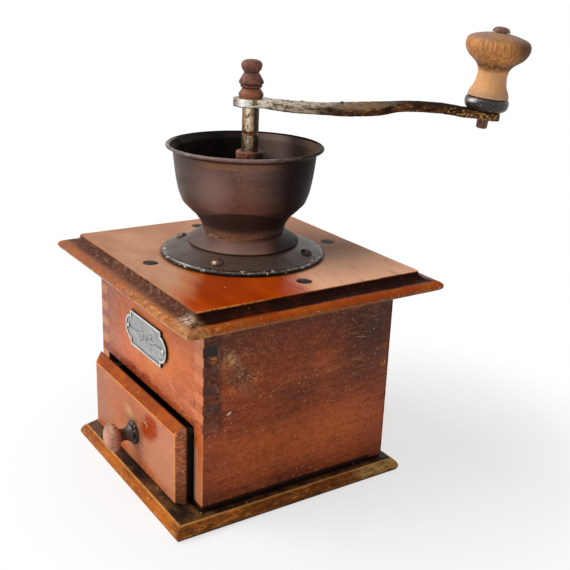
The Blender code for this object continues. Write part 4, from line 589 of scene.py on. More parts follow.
lay((0.42, 0.062, 0.002), smooth_end, ramp(height, 0.1082, 0.1098), 0.7)
lay((0.22, 0.07, 0.01), smooth_end, ramp(height, 0.1092, 0.1078), 0.7)
golden = both(nose, ramp(wobble, 0.44, 0.6), ramp(across, 0.0, 0.045),
              either(on_end, 0.8, both(worn_share, 0.7)))
lay((0.58, 0.235, 0.055), golden)
amber = both(on_end, nose, ramp(wobble, 0.46, 0.36), 0.3)
lay((0.52, 0.15, 0.014), amber)
bruised = near((0.0745, -0.0705, 0.111), (0.014, 0.01, 0.012), 0.3)
lay((0.46, 0.26, 0.12), bruised, ramp(rubbed, 0.42, 0.6, 0.05, 0.75))
frayed_grid = cells((0.006, 0.0008, 0.0025), turn=(0, 0, radians(35)))
frayed = both(near((0.066, -0.069, 0.113), (0.0075, 0.005, 0.004), 0.4), lines(frayed_grid, 0.06))
lay((0.78, 0.62, 0.46), frayed)
below = ramp(height, 0.1066, 0.106)
lay((0.2, 0.08, 0.035), below)
# A darker ring on the board round the edge of the flange.
flange_foot_ring = near((0, 0, BOARD_TOP), (0.0452, 0.0452, 0.01), 0.95)
lay((0.06, 0.02, 0.008), flange_foot_ring, 0.75)
dust = cloud((0.003, 0.003, 0.002), 6.0, 0.75)
dusty_cove = both(cove, sums("SUBTRACT", 1.0, on_end), ramp(dust, 0.5, 0.62), 0.6)
lay((0.3, 0.165, 0.105), dusty_cove)
flecks = both(specks(0.003, 0.14, 0.15), ramp(field_cloud, 0.42, 0.58))
lay((0.92, 0.6, 0.3), flecks, 0.8)
fine = both(nose, specks(0.0011, 0.2, 0.26))
lay((0.8, 0.52, 0.28), fine, 0.6)
crack_grid = cells((0.012, 0.0016, 0.01), middle=(0.004, 0.001, 0))
cracks = both(ramp(across, 0.03, 0.045), ramp(depth_y, 0.0, 0.02), ramp(cloud(crack_grid, 2.0), 0.73, 0.78))
lay((0.1, 0.03, 0.012), cracks, 0.8)
rough = ramp(field_cloud, 0.3, 0.7, 0.15, 0.24)
rough = sums("ADD", rough, both(moulding, 0.16))
# Little shine where the reflection is painted into the colour.
field_shine = ramp(sums("MAXIMUM", painted_sheen_left, painted_sheen_back), 0.0, 1.0, 0.05, 0.02)
shine = either(moulding, field_shine, 0.07)
shine = sums("SUBTRACT", shine, both(cove, 0.05))
set_look(rough, relief, 0.00004, specular=shine)


def next_inset(bm, face, inward, rise):
    """Sets a face in by one step of a moulding and moves it along its normal."""
    bmesh.ops.inset_region(bm, faces=[face], thickness=inward, depth=rise, use_even_offset=True,
                           use_boundary=True)


top_bm = bmesh.new()
bmesh.ops.create_cube(top_bm, size=1.0, matrix=Matrix.Translation((0, 0, (NOSE_LOW + NOSE_HIGH) / 2))
                      @ Matrix.Diagonal((2 * NOSE_X, 2 * NOSE_Y, NOSE_HIGH - NOSE_LOW, 1)))
field_face = max(top_bm.faces, key=lambda face: face.calc_center_median().z)
under_face = min(top_bm.faces, key=lambda face: face.calc_center_median().z)
for inward, rise in MOULDING_SHARES:
    next_inset(top_bm, field_face, inward * MOULDING_WIDTH, rise * (BOARD_TOP - NOSE_HIGH))
for inward, rise in UNDERCUT:
    next_inset(top_bm, under_face, inward, rise)
mitres = []
for edge in top_bm.edges:
    a, b = (v.co for v in edge.verts)
    if abs(abs(a.x) - abs(b.x)) < 0.003 and abs(abs(a.y) - abs(b.y)) < 0.003 and (a - b).length < 0.004:
        mitres.append(edge)
bmesh.ops.bevel(top_bm, geom=mitres, offset=0.0007, offset_type="OFFSET", segments=3, profile=0.5,
                affect="EDGES", clamp_overlap=True, material=-1)
bmesh.ops.subdivide_edges(top_bm, edges=[e for e in top_bm.edges if e.calc_length() > 0.09], cuts=47,
                          use_grid_fill=False)
for v in top_bm.verts:
    at_edge = max(abs(v.co.x) - NOSE_X, abs(v.co.y) - NOSE_Y) + MOULDING_WIDTH + 0.0005
    if at_edge > 0 and BOARD_LOW + 0.0005 < v.co.z:
        worn = noise.noise(v.co * 140) * 0.00022 + noise.noise(v.co * 420) * 0.00012
        v.co += Vector((v.co.x, v.co.y, 0)).normalized() * worn
    bruise = max(0.0, 1 - (v.co - Vector((0.0775, -0.0737, 0.1095))).length / 0.0085)
    v.co -= Vector((0.6, -0.6, 0.2)) * 0.0026 * bruise ** 1.3 * (0.8 + 0.5 * noise.noise(v.co * 300))

throat_bm = bmesh.new()
bmesh.ops.create_cone(throat_bm, cap_ends=True, segments=64, radius1=THROAT, radius2=THROAT, depth=0.03,
                      matrix=Matrix.Translation((SPINDLE_X, SPINDLE_Y, 0.111)))
for x, y, turn in TOP_SPOTS.values():
    bmesh.ops.create_cone(throat_bm, cap_ends=True, segments=32, radius1=0.0019, radius2=0.0043, depth=0.0026,
                          matrix=Matrix.Translation((x, y, BOARD_TOP - 0.0012)))


def cut_away(name, bm, cutter_bm, material, body, nodes, angle=35):
    """Finishes a piece after cutting the cutter's solids out of it."""
    cutter_mesh = bpy.data.meshes.new(name + "_cutter")
    cutter_bm.to_mesh(cutter_mesh)
    cutter_bm.free()
    cutter = bpy.data.objects.new(name + "_cutter", cutter_mesh)
    bmesh.ops.recalc_face_normals(bm, faces=bm.faces)
    whole_mesh = bpy.data.meshes.new(name + "_whole")
    bm.to_mesh(whole_mesh)
    bm.free()
    whole = bpy.data.objects.new(name + "_whole", whole_mesh)
    for thing in (cutter, whole):
        bpy.context.scene.collection.objects.link(thing)
    remove = whole.modifiers.new("cut", "BOOLEAN")
    remove.operation = "DIFFERENCE"
    remove.solver = "EXACT"
    remove.object = cutter
    bpy.context.view_layer.update()
    result = bmesh.new()
    graph = bpy.context.evaluated_depsgraph_get()
    result.from_mesh(bpy.data.meshes.new_from_object(whole.evaluated_get(graph)))
    for thing in (cutter, whole):
        bpy.data.objects.remove(thing)
    finished(name, result, material, body, nodes, angle)


cut_away("top_board_piece", top_bm, throat_bm, top_wood, "case", ["top_board"], 28)


# ---- Wood screws
# Slotted countersunk screws, blackened with age: four through the top board into the walls,
# and four brighter ones up through the base.

screw_black = new_finish("screw_black", 0.6, metallic=0.3, specular=0.08)
spots = cloud(0.0012, 4.0)
coat(ramp(spots, 0.4, 0.65), (0.014, 0.011, 0.009), (0.05, 0.03, 0.02))
set_look(ramp(spots, 0.3, 0.7, 0.35, 0.6), spots, 0.0002)
screw_steel = new_finish("screw_steel", 0.4, metallic=0.9)
spots = cloud(0.0012, 4.0)
coat(ramp(spots, 0.4, 0.65), (0.3, 0.27, 0.22), (0.14, 0.08, 0.05))
set_look(ramp(spots, 0.3, 0.7, 0.3, 0.6), spots, 0.0002)


def spun(profile, segments=96):
    """A turned solid from a profile of radius and height, its closed ends on the axis."""
    bm = bmesh.new()
    verts = [bm.verts.new((radius, 0, height)) for radius, height in profile]
    line = [bm.edges.new(pair) for pair in zip(verts, verts[1:])]
    if profile[0][0] > 0 and profile[-1][0] > 0:
        line.append(bm.edges.new((verts[-1], verts[0])))
    bmesh.ops.spin(bm, geom=verts + line, cent=(0, 0, 0), axis=(0, 0, 1), angle=2 * pi, steps=segments,
                   use_merge=True, use_duplicate=False)
    bmesh.ops.remove_doubles(bm, verts=bm.verts, dist=0.000001)
    return bm


def screw_with_slot(name, profile, slot_width, slot_depth, slot_turn, place, material, body, nodes):
    """A screw with its head up, slotted, then set in its place."""
    top = profile[0][1]
    bm = spun(profile, 32)
    width = 2.6 * max(radius for radius, height in profile)
    cutter_bm = bmesh.new()
    turned = Matrix.Rotation(slot_turn, 4, "Z") @ Matrix.Translation((0, 0, top))
    slot_size = Matrix.Diagonal((width, slot_width, 2 * slot_depth, 1))
    bmesh.ops.create_cube(cutter_bm, size=1.0, matrix=turned @ slot_size)
    bmesh.ops.transform(bm, matrix=place, verts=bm.verts)
    bmesh.ops.transform(cutter_bm, matrix=place, verts=cutter_bm.verts)
    cut_away(name, bm, cutter_bm, material, body, nodes)


SUNK_PROFILE = ((0.0, 0.0), (0.0037, 0.0), (0.004, -0.0002), (0.0017, -0.0023), (0.0017, -0.02),
                (0.0003, -0.022), (0.0, -0.022))
for side, (x, y, turn) in TOP_SPOTS.items():
    place = Matrix.Translation((x, y, BOARD_TOP - 0.0001))
    screw_with_slot(f"top_screw_{side}_piece", SUNK_PROFILE, 0.0009, 0.0008, radians(turn), place, screw_black,
                    "case", [f"top_screw_{side}"])
carried(screw_steel, "base_screw_front_left", "base_screw_front_right", "base_screw_back_left",
        "base_screw_back_right")


# ---- Badge
# A stamped pewter plate with a raised rim, pinned at each end above the drawer. A small palmette
# is stamped on its face, with a dark mottled line round it and inside the rim. Its edges are painted near black
# as painted shade.

LEAVES = [(0.0, 0.0, 0, 0.003)]
for side in (-1, 1):
    for turn in (54, 90, 126):
        reach = 0.0044 if turn == 90 else 0.0036
        LEAVES.append((side * (0.0022 + reach * sin(radians(turn))), reach * cos(radians(turn)), side * turn,
                       2 * reach - 0.0016))
BADGE_FACE, BADGE_MIDDLE = -0.0571, 0.077

pewter = new_finish("pewter", 0.42, metallic=0.55)
stain = cloud(0.004, 5.0, 0.7)
coat(ramp(stain, 0.35, 0.65), (0.46, 0.47, 0.465), (0.36, 0.37, 0.365))
pitted = ramp(cloud(0.0012), 0.66, 0.7)
lay((0.05, 0.05, 0.05), pitted, ramp(stain, 0.45, 0.55))
rim_high = ramp(own(1), BADGE_FACE - 0.0003, BADGE_FACE - 0.0005)
lay((0.74, 0.74, 0.73), rim_high, ramp(stain, 0.4, 0.55, 0.3, 1.0))
# Painted shade: the plate's edges, which face neither front nor back, are painted near black as its dark
# outline.
facing = sums("ABSOLUTE", axis_of(add_step("ShaderNodeNewGeometry", {}, "Normal"), 1))
lay((0.012, 0.012, 0.012), ramp(facing, 0.75, 0.45))
set_look(ramp(stain, 0.3, 0.7, 0.36, 0.52), stain, 0.00022)
# A dark grey mottled finish for the groove inside the rim and the outlines of the leaves.
badge_groove_dark = new_finish("badge_groove_dark", 0.8, specular=0.2)
dusty = cloud(0.0016, 4.0)
coat(ramp(dusty, 0.45, 0.62), (0.045, 0.042, 0.038), (0.17, 0.165, 0.16))
set_look(height=dusty)

badge_bm = softened("badge_plate", 0.00012, 2, 20)
badge_bm.normal_update()
flat_faces = [f for f in badge_bm.faces
              if f.normal.y < -0.99 and abs(f.calc_center_median().y - BADGE_FACE) < 0.0001]
floor_face = max(flat_faces, key=lambda f: f.calc_area())
inset = bmesh.ops.inset_individual(badge_bm, faces=[floor_face], thickness=0.00045, use_even_offset=True)
for face in inset["faces"]:
    face.material_index = 1
for x, z, turn, length in LEAVES:
    turned = Matrix.Translation((x, BADGE_FACE, BADGE_MIDDLE + z)) @ Matrix.Rotation(radians(turn), 4, "Y")
    for width, rise, index in ((0.001, 0.00026, 0), (0.00132, 0.00008, 1)):
        shape = Matrix.Diagonal((width, rise, length / 2 + width - 0.001, 1))
        made = bmesh.ops.create_uvsphere(badge_bm, u_segments=16, v_segments=10, radius=1.0,
                                         matrix=turned @ shape)
        for face in {f for v in made["verts"] for f in v.link_faces}:
            face.material_index = index
badge = finished("badge_plate_piece", badge_bm, pewter, "case", ["badge_plate"])
badge.data.materials.append(badge_groove_dark)
carried(pewter, "badge_pin_left", "badge_pin_right")


# ---- Hopper flange, collar and bowl
# Three pieces of spun sheet iron with a brown patina, rubbed to brass colour at the neck and rim.
# The flange's black beaded edge is chipped, the bowl's rim is rolled outward and its inside is black.
# Light is painted into the patina: highlights on the bowl's front, the collar and the flange's bead, shade on
# the bowl's sides and under its shoulder, and lit bands on the far inner wall.

SHEET = 0.0011
VIEW_TURN = radians(56)


def flowing(points, cuts=4):
    """A smooth line of more points through the given ones."""
    line = []
    ends = [points[0], *points, points[-1]]
    for a, b, c, d in zip(ends, ends[1:], ends[2:], ends[3:]):
        for n in range(cuts):
            t = n / cuts
            line.append(tuple(0.5 * (2 * q + (r - p) * t + (2 * p - 5 * q + 4 * r - s) * t * t
                                     + (3 * q - p - 3 * r + s) * t ** 3) for p, q, r, s in zip(a, b, c, d)))
    return line + [points[-1]]


def hopper_finish(name, light, dark, metallic):
    """Brown patina with soft clouds and a fine tooth, brighter where it is rubbed."""
    material = new_finish(name, 0.42, metallic=metallic, specular=0.3)
    clouds = cloud((0.018, 0.018, 0.014), 4.0, 0.6, 0.4)
    fine = cloud((0.001, 0.001, 0.0006), 3.0, 0.6)
    coat(ramp(clouds, 0.35, 0.68), light, dark)
    lay(tuple(value * 0.6 for value in dark), ramp(fine, 0.45, 0.7, 0.0, 0.6))
    lay(tuple(value * 1.6 for value in light), ramp(fine, 0.48, 0.34, 0.0, 0.35))
    return material, clouds, fine


def sideways_from(x=0.0, y=0.0):
    """How far a place is to the right of a point, as the camera sees it."""
    return axis_of(cells((1, 1, 1), (x, y, 0.0), (0, 0, VIEW_TURN)), 0)


patina, clouds, fine = hopper_finish("patina", (0.225, 0.112, 0.09), (0.122, 0.06, 0.047), 0.15)
rubs = cloud((0.004, 0.004, 0.0012), 5.0, 0.7)
height = own(2)
warm = near((0.03, -0.014, 0.152), (0.02, 0.02, 0.018))
lay((0.22, 0.08, 0.035), warm, 0.5)
# Painted highlight: a pale patch on the bowl's front, towards the camera.
pale = near((0.0175, -0.031, 0.156), (0.017, 0.017, 0.021))
lay((0.3, 0.165, 0.14), pale, 0.8)
view_grid = cells((1, 1, 1), turn=(0, 0, VIEW_TURN))
sideways, inward = axis_of(view_grid, 0), axis_of(view_grid, 1)
# Painted shade: the bowl below its shoulder is painted near black, the line lifted towards the middle of the
# view.
lifted = sums("SUBTRACT", height, ramp(sums("ABSOLUTE", sideways), 0.024, 0.004, 0.0, 0.0046))
under_shoulder = both(ramp(lifted, 0.1408, 0.1394), ramp(height, 0.1305, 0.1345))
lay((0.022, 0.011, 0.008), under_shoulder, 0.82)
# Painted shade: the bowl is painted near black towards its right as the camera sees it, and darker towards its
# left.
lay((0.006, 0.003, 0.003), ramp(sideways, 0.001, 0.025, 0.0, 0.97))
lay((0.045, 0.025, 0.018), ramp(sideways, -0.006, -0.033, 0.0, 0.9))
# Painted highlight: a pale band on the front of the collar.
collar_pale = both(band(height, 0.1232, 0.1268, 0.0014), band(sideways, -0.006, 0.01, 0.009), 0.75)
lay((0.3, 0.165, 0.13), collar_pale)
far_rim = both(ramp(height, 0.17, 0.1712), ramp(inward, 0.004, 0.018))
lay((0.006, 0.004, 0.004), far_rim)
bronze = both(band(height, 0.1284, 0.1305, 0.0016), band(sideways, -0.008, 0.006, 0.008), 0.5)
lay((0.34, 0.15, 0.055), bronze)
ring = both(band(height, 0.1283, 0.1288, 0.0002), ramp(rubs, 0.48, 0.56), band(sideways, -0.018, 0.002, 0.006))
lay((0.6, 0.36, 0.16), ring)
rim_line = both(band(height, 0.1678, 0.1694, 0.0012), band(sideways, -0.012, 0.01, 0.012),
                ramp(clouds, 0.4, 0.55, 0.3, 0.7))
lay((0.3, 0.13, 0.045), rim_line)
neck_shadow = band(height, 0.1706, 0.1713, 0.0005)
lay((0.016, 0.009, 0.007), neck_shadow, 0.7)
rim_edge = both(ramp(height, 0.1716, 0.1722), ramp(rubs, 0.5, 0.6, 0.25, 0.85), ramp(inward, 0.012, -0.004),
                ramp(sideways, 0.036, 0.012, 0.15, 1.0))
lay((0.26, 0.21, 0.18), rim_edge)
dim = both(ramp(sideways, 0.03, 0.002, 0.1, 1.0), ramp(far_rim, 0.0, 1.0, 1.0, 0.1))
set_look(ramp(clouds, 0.3, 0.7, 0.36, 0.5), sums("ADD", fine, rubs), 0.00004, both(dim, 0.15), both(dim, 0.3))

plate_patina, clouds, fine = hopper_finish("plate_patina", (0.105, 0.066, 0.048), (0.055, 0.032, 0.023), 0.2)
shade = ramp(sideways_from(), -0.01, -0.04, 0.0, 0.5)
lay((0.045, 0.028, 0.021), shade)
out = add_step("ShaderNodeVectorMath", {0: cells((1, 1, 1000))}, 1, operation="LENGTH")
chips = cloud(0.003, 5.0, 0.72)
edge_black = ramp(out, 0.0402, 0.0408)
lay((0.01, 0.008, 0.007), edge_black, 0.96)
# The pale broken line on the bead's crest is partly painted highlight and partly bared metal in the chips.
crest = both(band(out, 0.0417, 0.0423, 0.0003), ramp(chips, 0.44, 0.52, 0.25, 0.9))
lay((0.25, 0.21, 0.17), crest)
# Painted highlight on the bead at the front left.
lit = both(near((0.012, -0.04, 0.118), (0.015, 0.012, 0.02)), band(out, 0.0414, 0.0422, 0.0003),
           ramp(chips, 0.56, 0.46))
lay((0.62, 0.57, 0.5), lit)
# Painted glints on the black edge.
glint = both(edge_black, ramp(chips, 0.58, 0.62))
lay((0.62, 0.52, 0.4), glint)
crust = both(band(out, 0.04, 0.0412, 0.0004), ramp(chips, 0.42, 0.36))
lay((0.2, 0.09, 0.045), crust)
set_look(ramp(clouds, 0.3, 0.7, 0.34, 0.5), sums("ADD", fine, both(chips, edge_black)), 0.00012)

# The bowl's inside is near black. Painted light: the far inner wall carries lit and shaded bands as the camera
# sees it.
bowl_inner_black = new_finish("bowl_inner_black", 0.7, specular=0.06)
inner_cloud = cloud(0.01, 4.0)
coat(ramp(inner_cloud, 0.4, 0.65), (0.014, 0.009, 0.007), (0.006, 0.005, 0.004))
to_light = sideways_from()
lay((0.15, 0.1, 0.08), ramp(to_light, 0.0, 0.01))
lay((0.03, 0.017, 0.012), ramp(to_light, 0.016, 0.027))
lay((0.12, 0.068, 0.045), ramp(to_light, 0.029, 0.036))
set_look(ramp(inner_cloud, 0.3, 0.7, 0.55, 0.8), inner_cloud, 0.0001)

flange_out = [(0.025, 0.1234), (0.0284, 0.1225), (0.0319, 0.1212), (0.0353, 0.1199), (0.0387, 0.1187),
              (0.0411, 0.1179), (0.0416, 0.1177), (0.0423, 0.11755), (0.0429, 0.1172), (0.043, 0.1167),
              (0.0427, 0.1162)]
flange_in = [(0.0412, 0.1162), (0.0384, 0.1176), (0.035, 0.1188), (0.0316, 0.1201), (0.0281, 0.1214),
             (0.025, 0.1223)]
flange_bm = spun(flowing(flange_out) + flowing(flange_in, 2), 144)
for v in flange_bm.verts:
    outer = max(0.0, Vector((v.co.x, v.co.y)).length - 0.0412)
    v.co.z += noise.noise(v.co * 260) * 0.1 * outer
finished("hopper_flange_piece", flange_bm, plate_patina, "case", ["hopper_flange"], 50)

collar_out = [(0.0222, 0.1282), (0.0244, 0.12694), (0.0274, 0.12509), (0.0293, 0.1239), (0.0296, 0.1236),
              (0.0296, 0.123), (0.0293, 0.1228)]
collar_in = [(0.0272, 0.1228), (0.024, 0.1256), (0.0215, 0.127), (0.0199, 0.127), (0.0199, 0.1161),
             (0.0188, 0.1161), (0.0188, 0.1282)]
finished("hopper_collar_piece", spun(flowing(collar_out) + collar_in, 128), patina, "case",
         ["hopper_collar"], 50)

bowl_wall = [(0.0386, 0.17169), (0.03754, 0.17059), (0.03709, 0.1697), (0.03672, 0.1658), (0.03611, 0.16062),
             (0.03533, 0.1553), (0.03423, 0.14999), (0.03329, 0.14728), (0.03219, 0.14458), (0.03019, 0.14241),
             (0.02811, 0.1402), (0.0257, 0.138), (0.02411, 0.13575), (0.02268, 0.13351), (0.02187, 0.13116),
             (0.0213, 0.1285)]
rim_roll = [(0.0386, 0.1729), (0.0391, 0.1733), (0.0399, 0.1737), (0.0406, 0.1733), (0.04076, 0.1725),
            (0.0401, 0.17193)]
bowl_outside = flowing(rim_roll + bowl_wall, 4)
bowl_inside = [(radius - SHEET, height) for radius, height in reversed(flowing(bowl_wall[1:], 4))]
bowl = finished("hopper_bowl_piece", spun(bowl_outside + bowl_inside, 160), patina, "case",
                ["hopper_bowl"], 50)
bowl.data.materials.append(bowl_inner_black)
for face in bowl.data.polygons:
    if face.normal.xy.dot(face.center.xy) < 0 and face.center.z < 0.173:
        face.material_index = 1


# ---- Flange screws
# Four small round head screws through the flange into the top board.
# Their crowns are rubbed bright.

crown = new_finish("crown_bronze", 0.34, metallic=0.5)
rub = cloud(0.0016, 4.0)
coat(ramp(rub, 0.38, 0.6), (0.34, 0.18, 0.12), (0.06, 0.036, 0.028))
# Painted shade: screws to the right of the spindle, as the camera sees them, are painted near black.
crown_side = sideways_from(SPINDLE_X, SPINDLE_Y)
lay((0.012, 0.008, 0.007), ramp(crown_side, -0.001, 0.005, 0.0, 0.92))
set_look(ramp(rub, 0.3, 0.7, 0.28, 0.5), rub, 0.0002)
ROUND_PROFILE = tuple([(0.0, 0.0017)] + flowing([(0.0008, 0.00168), (0.0016, 0.0015), (0.0024, 0.00108),
                                                 (0.0029, 0.0005), (0.0031, 0.0)], 2)
                      + [(0.0014, 0.0), (0.0014, -0.009), (0.0, -0.0105)])
SCREW_OUT, SCREW_SEAT, FLANGE_SLOPE = 0.0357, 0.1201, radians(20.4)
for number in range(1, 5):
    angle = radians(-52 + 90 * (number - 1))
    seat = Vector((cos(angle) * SCREW_OUT, sin(angle) * SCREW_OUT, SCREW_SEAT))
    place = Matrix.Translation(seat) @ Matrix.Rotation(angle, 4, "Z") @ Matrix.Rotation(FLANGE_SLOPE, 4, "Y")
    screw_with_slot(f"hopper_screw_{number}_piece", ROUND_PROFILE, 0.0007, 0.0009, radians(85 + 40 * number),
                    place, crown, "case", [f"hopper_screw_{number}"])


# ---- Bridge and bush
# A bent iron strap, soldered across the bowl, carries a flanged bush that steadies the spindle.
# Both are bare and rusty.
# Their right side is painted near black as painted shade.

AXIS = Matrix.Translation((SPINDLE_X, SPINDLE_Y, 0.0))


def about_axis(bm):
    """Moves a turned piece to the spindle's axis."""
    bmesh.ops.transform(bm, matrix=AXIS, verts=bm.verts)
    return bm


bridge_rust = new_finish("bridge_rust", 0.75, metallic=0.2, specular=0.3)
spots = cloud(0.0022, 5.0, 0.7)
coat(ramp(spots, 0.35, 0.65), (0.3, 0.11, 0.06), (0.075, 0.032, 0.022))
# Painted shade: right of the spindle, as the camera sees it, the bridge and bush are painted near black.
bridge_sideways = sideways_from(SPINDLE_X, SPINDLE_Y)
lay((0.012, 0.007, 0.005), ramp(bridge_sideways, 0.001, 0.005, 0.0, 0.9))
set_look(ramp(spots, 0.3, 0.7, 0.45, 0.8), spots, 0.0004)
bridge_bm = softened("hopper_bridge", 0.0002)
finished("hopper_bridge_piece", bridge_bm, bridge_rust, "case", ["hopper_bridge"])
bush_bead = [(0.0062, 0.1703), (0.0068, 0.1701), (0.0071, 0.1695), (0.0071, 0.1673), (0.0068, 0.1668)]
bush_profile = [(0.00465, 0.1703)] + flowing(bush_bead, 3)
bush_profile += [(0.0056, 0.1668), (0.0056, 0.1634), (0.00465, 0.1634)]
finished("spindle_bush_piece", about_axis(spun(bush_profile, 64)), bridge_rust, "case",
         ["spindle_bush"])


# ---- Burrs and their fittings
# Cast iron burrs below the top board, with a stirrup, its bolts, a knurled wheel and a thrust screw that
# set how finely the mill grinds. They are greasy and dusted with coffee.

burr_iron = new_finish("burr_iron", 0.5, metallic=0.8)
spots = cloud(0.003, 5.0, 0.65)
coat(ramp(spots, 0.35, 0.65), (0.16, 0.145, 0.13), (0.075, 0.048, 0.034))
set_look(ramp(spots, 0.3, 0.7, 0.4, 0.65), spots, 0.0004)
carried(burr_iron, "burr_housing", "burr_cone", "stirrup")
fitting_steel = new_finish("fitting_steel", 0.38, metallic=0.9)
spots = cloud(0.0018, 4.0)
coat(ramp(spots, 0.42, 0.68), (0.34, 0.31, 0.26), (0.16, 0.095, 0.06))
set_look(ramp(spots, 0.3, 0.7, 0.3, 0.55), spots, 0.0002)
carried(fitting_steel, "housing_screw_1", "housing_screw_2", "housing_screw_3", "housing_screw_4",
        "stirrup_bolt_left", "stirrup_bolt_right", "adjust_wheel", "thrust_screw", "cone_pin")


# ---- Spindle
# A turned steel shaft from the crank down to the burr, with a worn groove near the bush.
# Its nickel plating is yellowed and pitted with rust.
# A painted highlight runs down its left and painted shade darkens its right side.

SHAFT = 0.00435
shaft_nickel = new_finish("shaft_nickel", 0.25, metallic=0.9)
pits = cloud((0.0014, 0.0014, 0.0026), 4.0, 0.6)
age = cloud((0.004, 0.004, 0.01))
coat(ramp(age, 0.35, 0.65), (0.6, 0.44, 0.27), (0.34, 0.2, 0.095))
lay((0.075, 0.042, 0.024), ramp(pits, 0.58, 0.66))
# Painted light as the camera sees the shaft: a bright highlight strip left of its middle, painted shade on its
# right side and a darker left edge.
side_dark = sideways_from(SPINDLE_X, SPINDLE_Y)
glare = both(band(side_dark, -0.0018, -0.0004, 0.0008), ramp(pits, 0.6, 0.5), 0.85)
lay((0.98, 0.86, 0.62), glare)
lay((0.022, 0.013, 0.009), ramp(side_dark, 0.0008, 0.0024, 0.0, 0.95))
lay((0.12, 0.07, 0.04), ramp(side_dark, -0.0026, -0.004, 0.0, 0.8))
height = own(2)
ring = both(ramp(pits, 0.3, 0.48, 0.5, 1.0), ramp(height, 0.1784, 0.1789), ramp(height, 0.1811, 0.1806))
lay((0.17, 0.055, 0.026), ring)
lower_rust = ramp(height, 0.1762, 0.1703)
lay((0.13, 0.075, 0.04), lower_rust, ramp(pits, 0.42, 0.58))
set_look(ramp(pits, 0.4, 0.7, 0.24, 0.6), pits, 0.0003)
shaft_profile = [(0.0, 0.2047), (0.0018, 0.2047), (0.0024, 0.2041), (0.0024, 0.1927), (SHAFT, 0.1927),
                 (SHAFT, 0.1806), (SHAFT - 0.0003, 0.1803), (SHAFT - 0.0003, 0.1791), (SHAFT, 0.1788),
                 (SHAFT, 0.1045), (0.004, 0.1045), (0.004, 0.0663), (0.0034, 0.0657), (0.0, 0.0657)]
finished("spindle_piece", about_axis(spun(shaft_profile, 64)), shaft_nickel, "crank", ["spindle"])


# ---- Crank arm
# A forged flat arm, nickel plated. The plating is pale and blistered near the spindle, and farther out
# it has gone to brown rust with yellow flecks.
# A white painted highlight sits on it just under the nut.

ARM_AZIMUTH = radians(52)
arm_metal = new_finish("arm_metal", 0.45, metallic=0.7, specular=0.2)
along = cells((1, 1, 1), (SPINDLE_X, SPINDLE_Y, 0.195), (0, 0, ARM_AZIMUTH))
out = axis_of(along, 0)
blisters = cloud((0.003, 0.003, 0.0018), 4.0, 0.58)
patches = cloud((0.009, 0.009, 0.003), 5.0, 0.65)
coat(ramp(blisters, 0.5, 0.6), (0.43, 0.345, 0.245), (0.14, 0.096, 0.058))
bright = both(ramp(out, 0.024, 0.004), ramp(blisters, 0.52, 0.44))
lay((0.88, 0.8, 0.66), bright, 0.65)
lay((0.17, 0.125, 0.08), ramp(out, -0.003, -0.0055, 0.0, 0.8))
# Painted highlight: a white spot on the arm just under the nut.
facet_highlight = near((0.004, -0.0035, 0.1945), (0.0068, 0.0045, 0.004), 0.5)
lay((1.0, 0.98, 0.94), facet_highlight, 0.9)
reach = sums("ADD", out, ramp(patches, 0.3, 0.7, -0.016, 0.016))
rust = tint(ramp(patches, 0.4, 0.58), (0.13, 0.05, 0.021), (0.02, 0.009, 0.005))
upward = axis_of(add_step("ShaderNodeNewGeometry", {}, "Normal"), 2)
olive = both(ramp(blisters, 0.42, 0.54), ramp(out, 0.095, 0.06), ramp(upward, 0.3, 0.7, 0.3, 0.9))
rust = tint(olive, rust, (0.16, 0.095, 0.04))
lay(rust, ramp(reach, 0.016, 0.05))
flecks = both(ramp(blisters, 0.6, 0.66), ramp(out, 0.02, 0.1, 0.25, 1.0))
lay((0.42, 0.26, 0.085), flecks)
gilt = cloud((0.0014, 0.0014, 0.0012), 5.0, 0.75)
gilt_eye = both(ramp(out, 0.092, 0.108), ramp(gilt, 0.52, 0.6))
lay((0.55, 0.31, 0.11), gilt_eye)
brown_top = both(ramp(upward, 0.55, 0.85), ramp(out, 0.058, 0.085), 0.95)
lay((0.014, 0.008, 0.005), brown_top)
plated = ramp(reach, 0.06, 0.02, 0.0, 0.85)
set_look(sums("MAXIMUM", ramp(blisters, 0.35, 0.7, 0.3, 0.65), brown_top), blisters, 0.0006, plated,
         ramp(out, 0.02, 0.06, 0.2, 0.02))

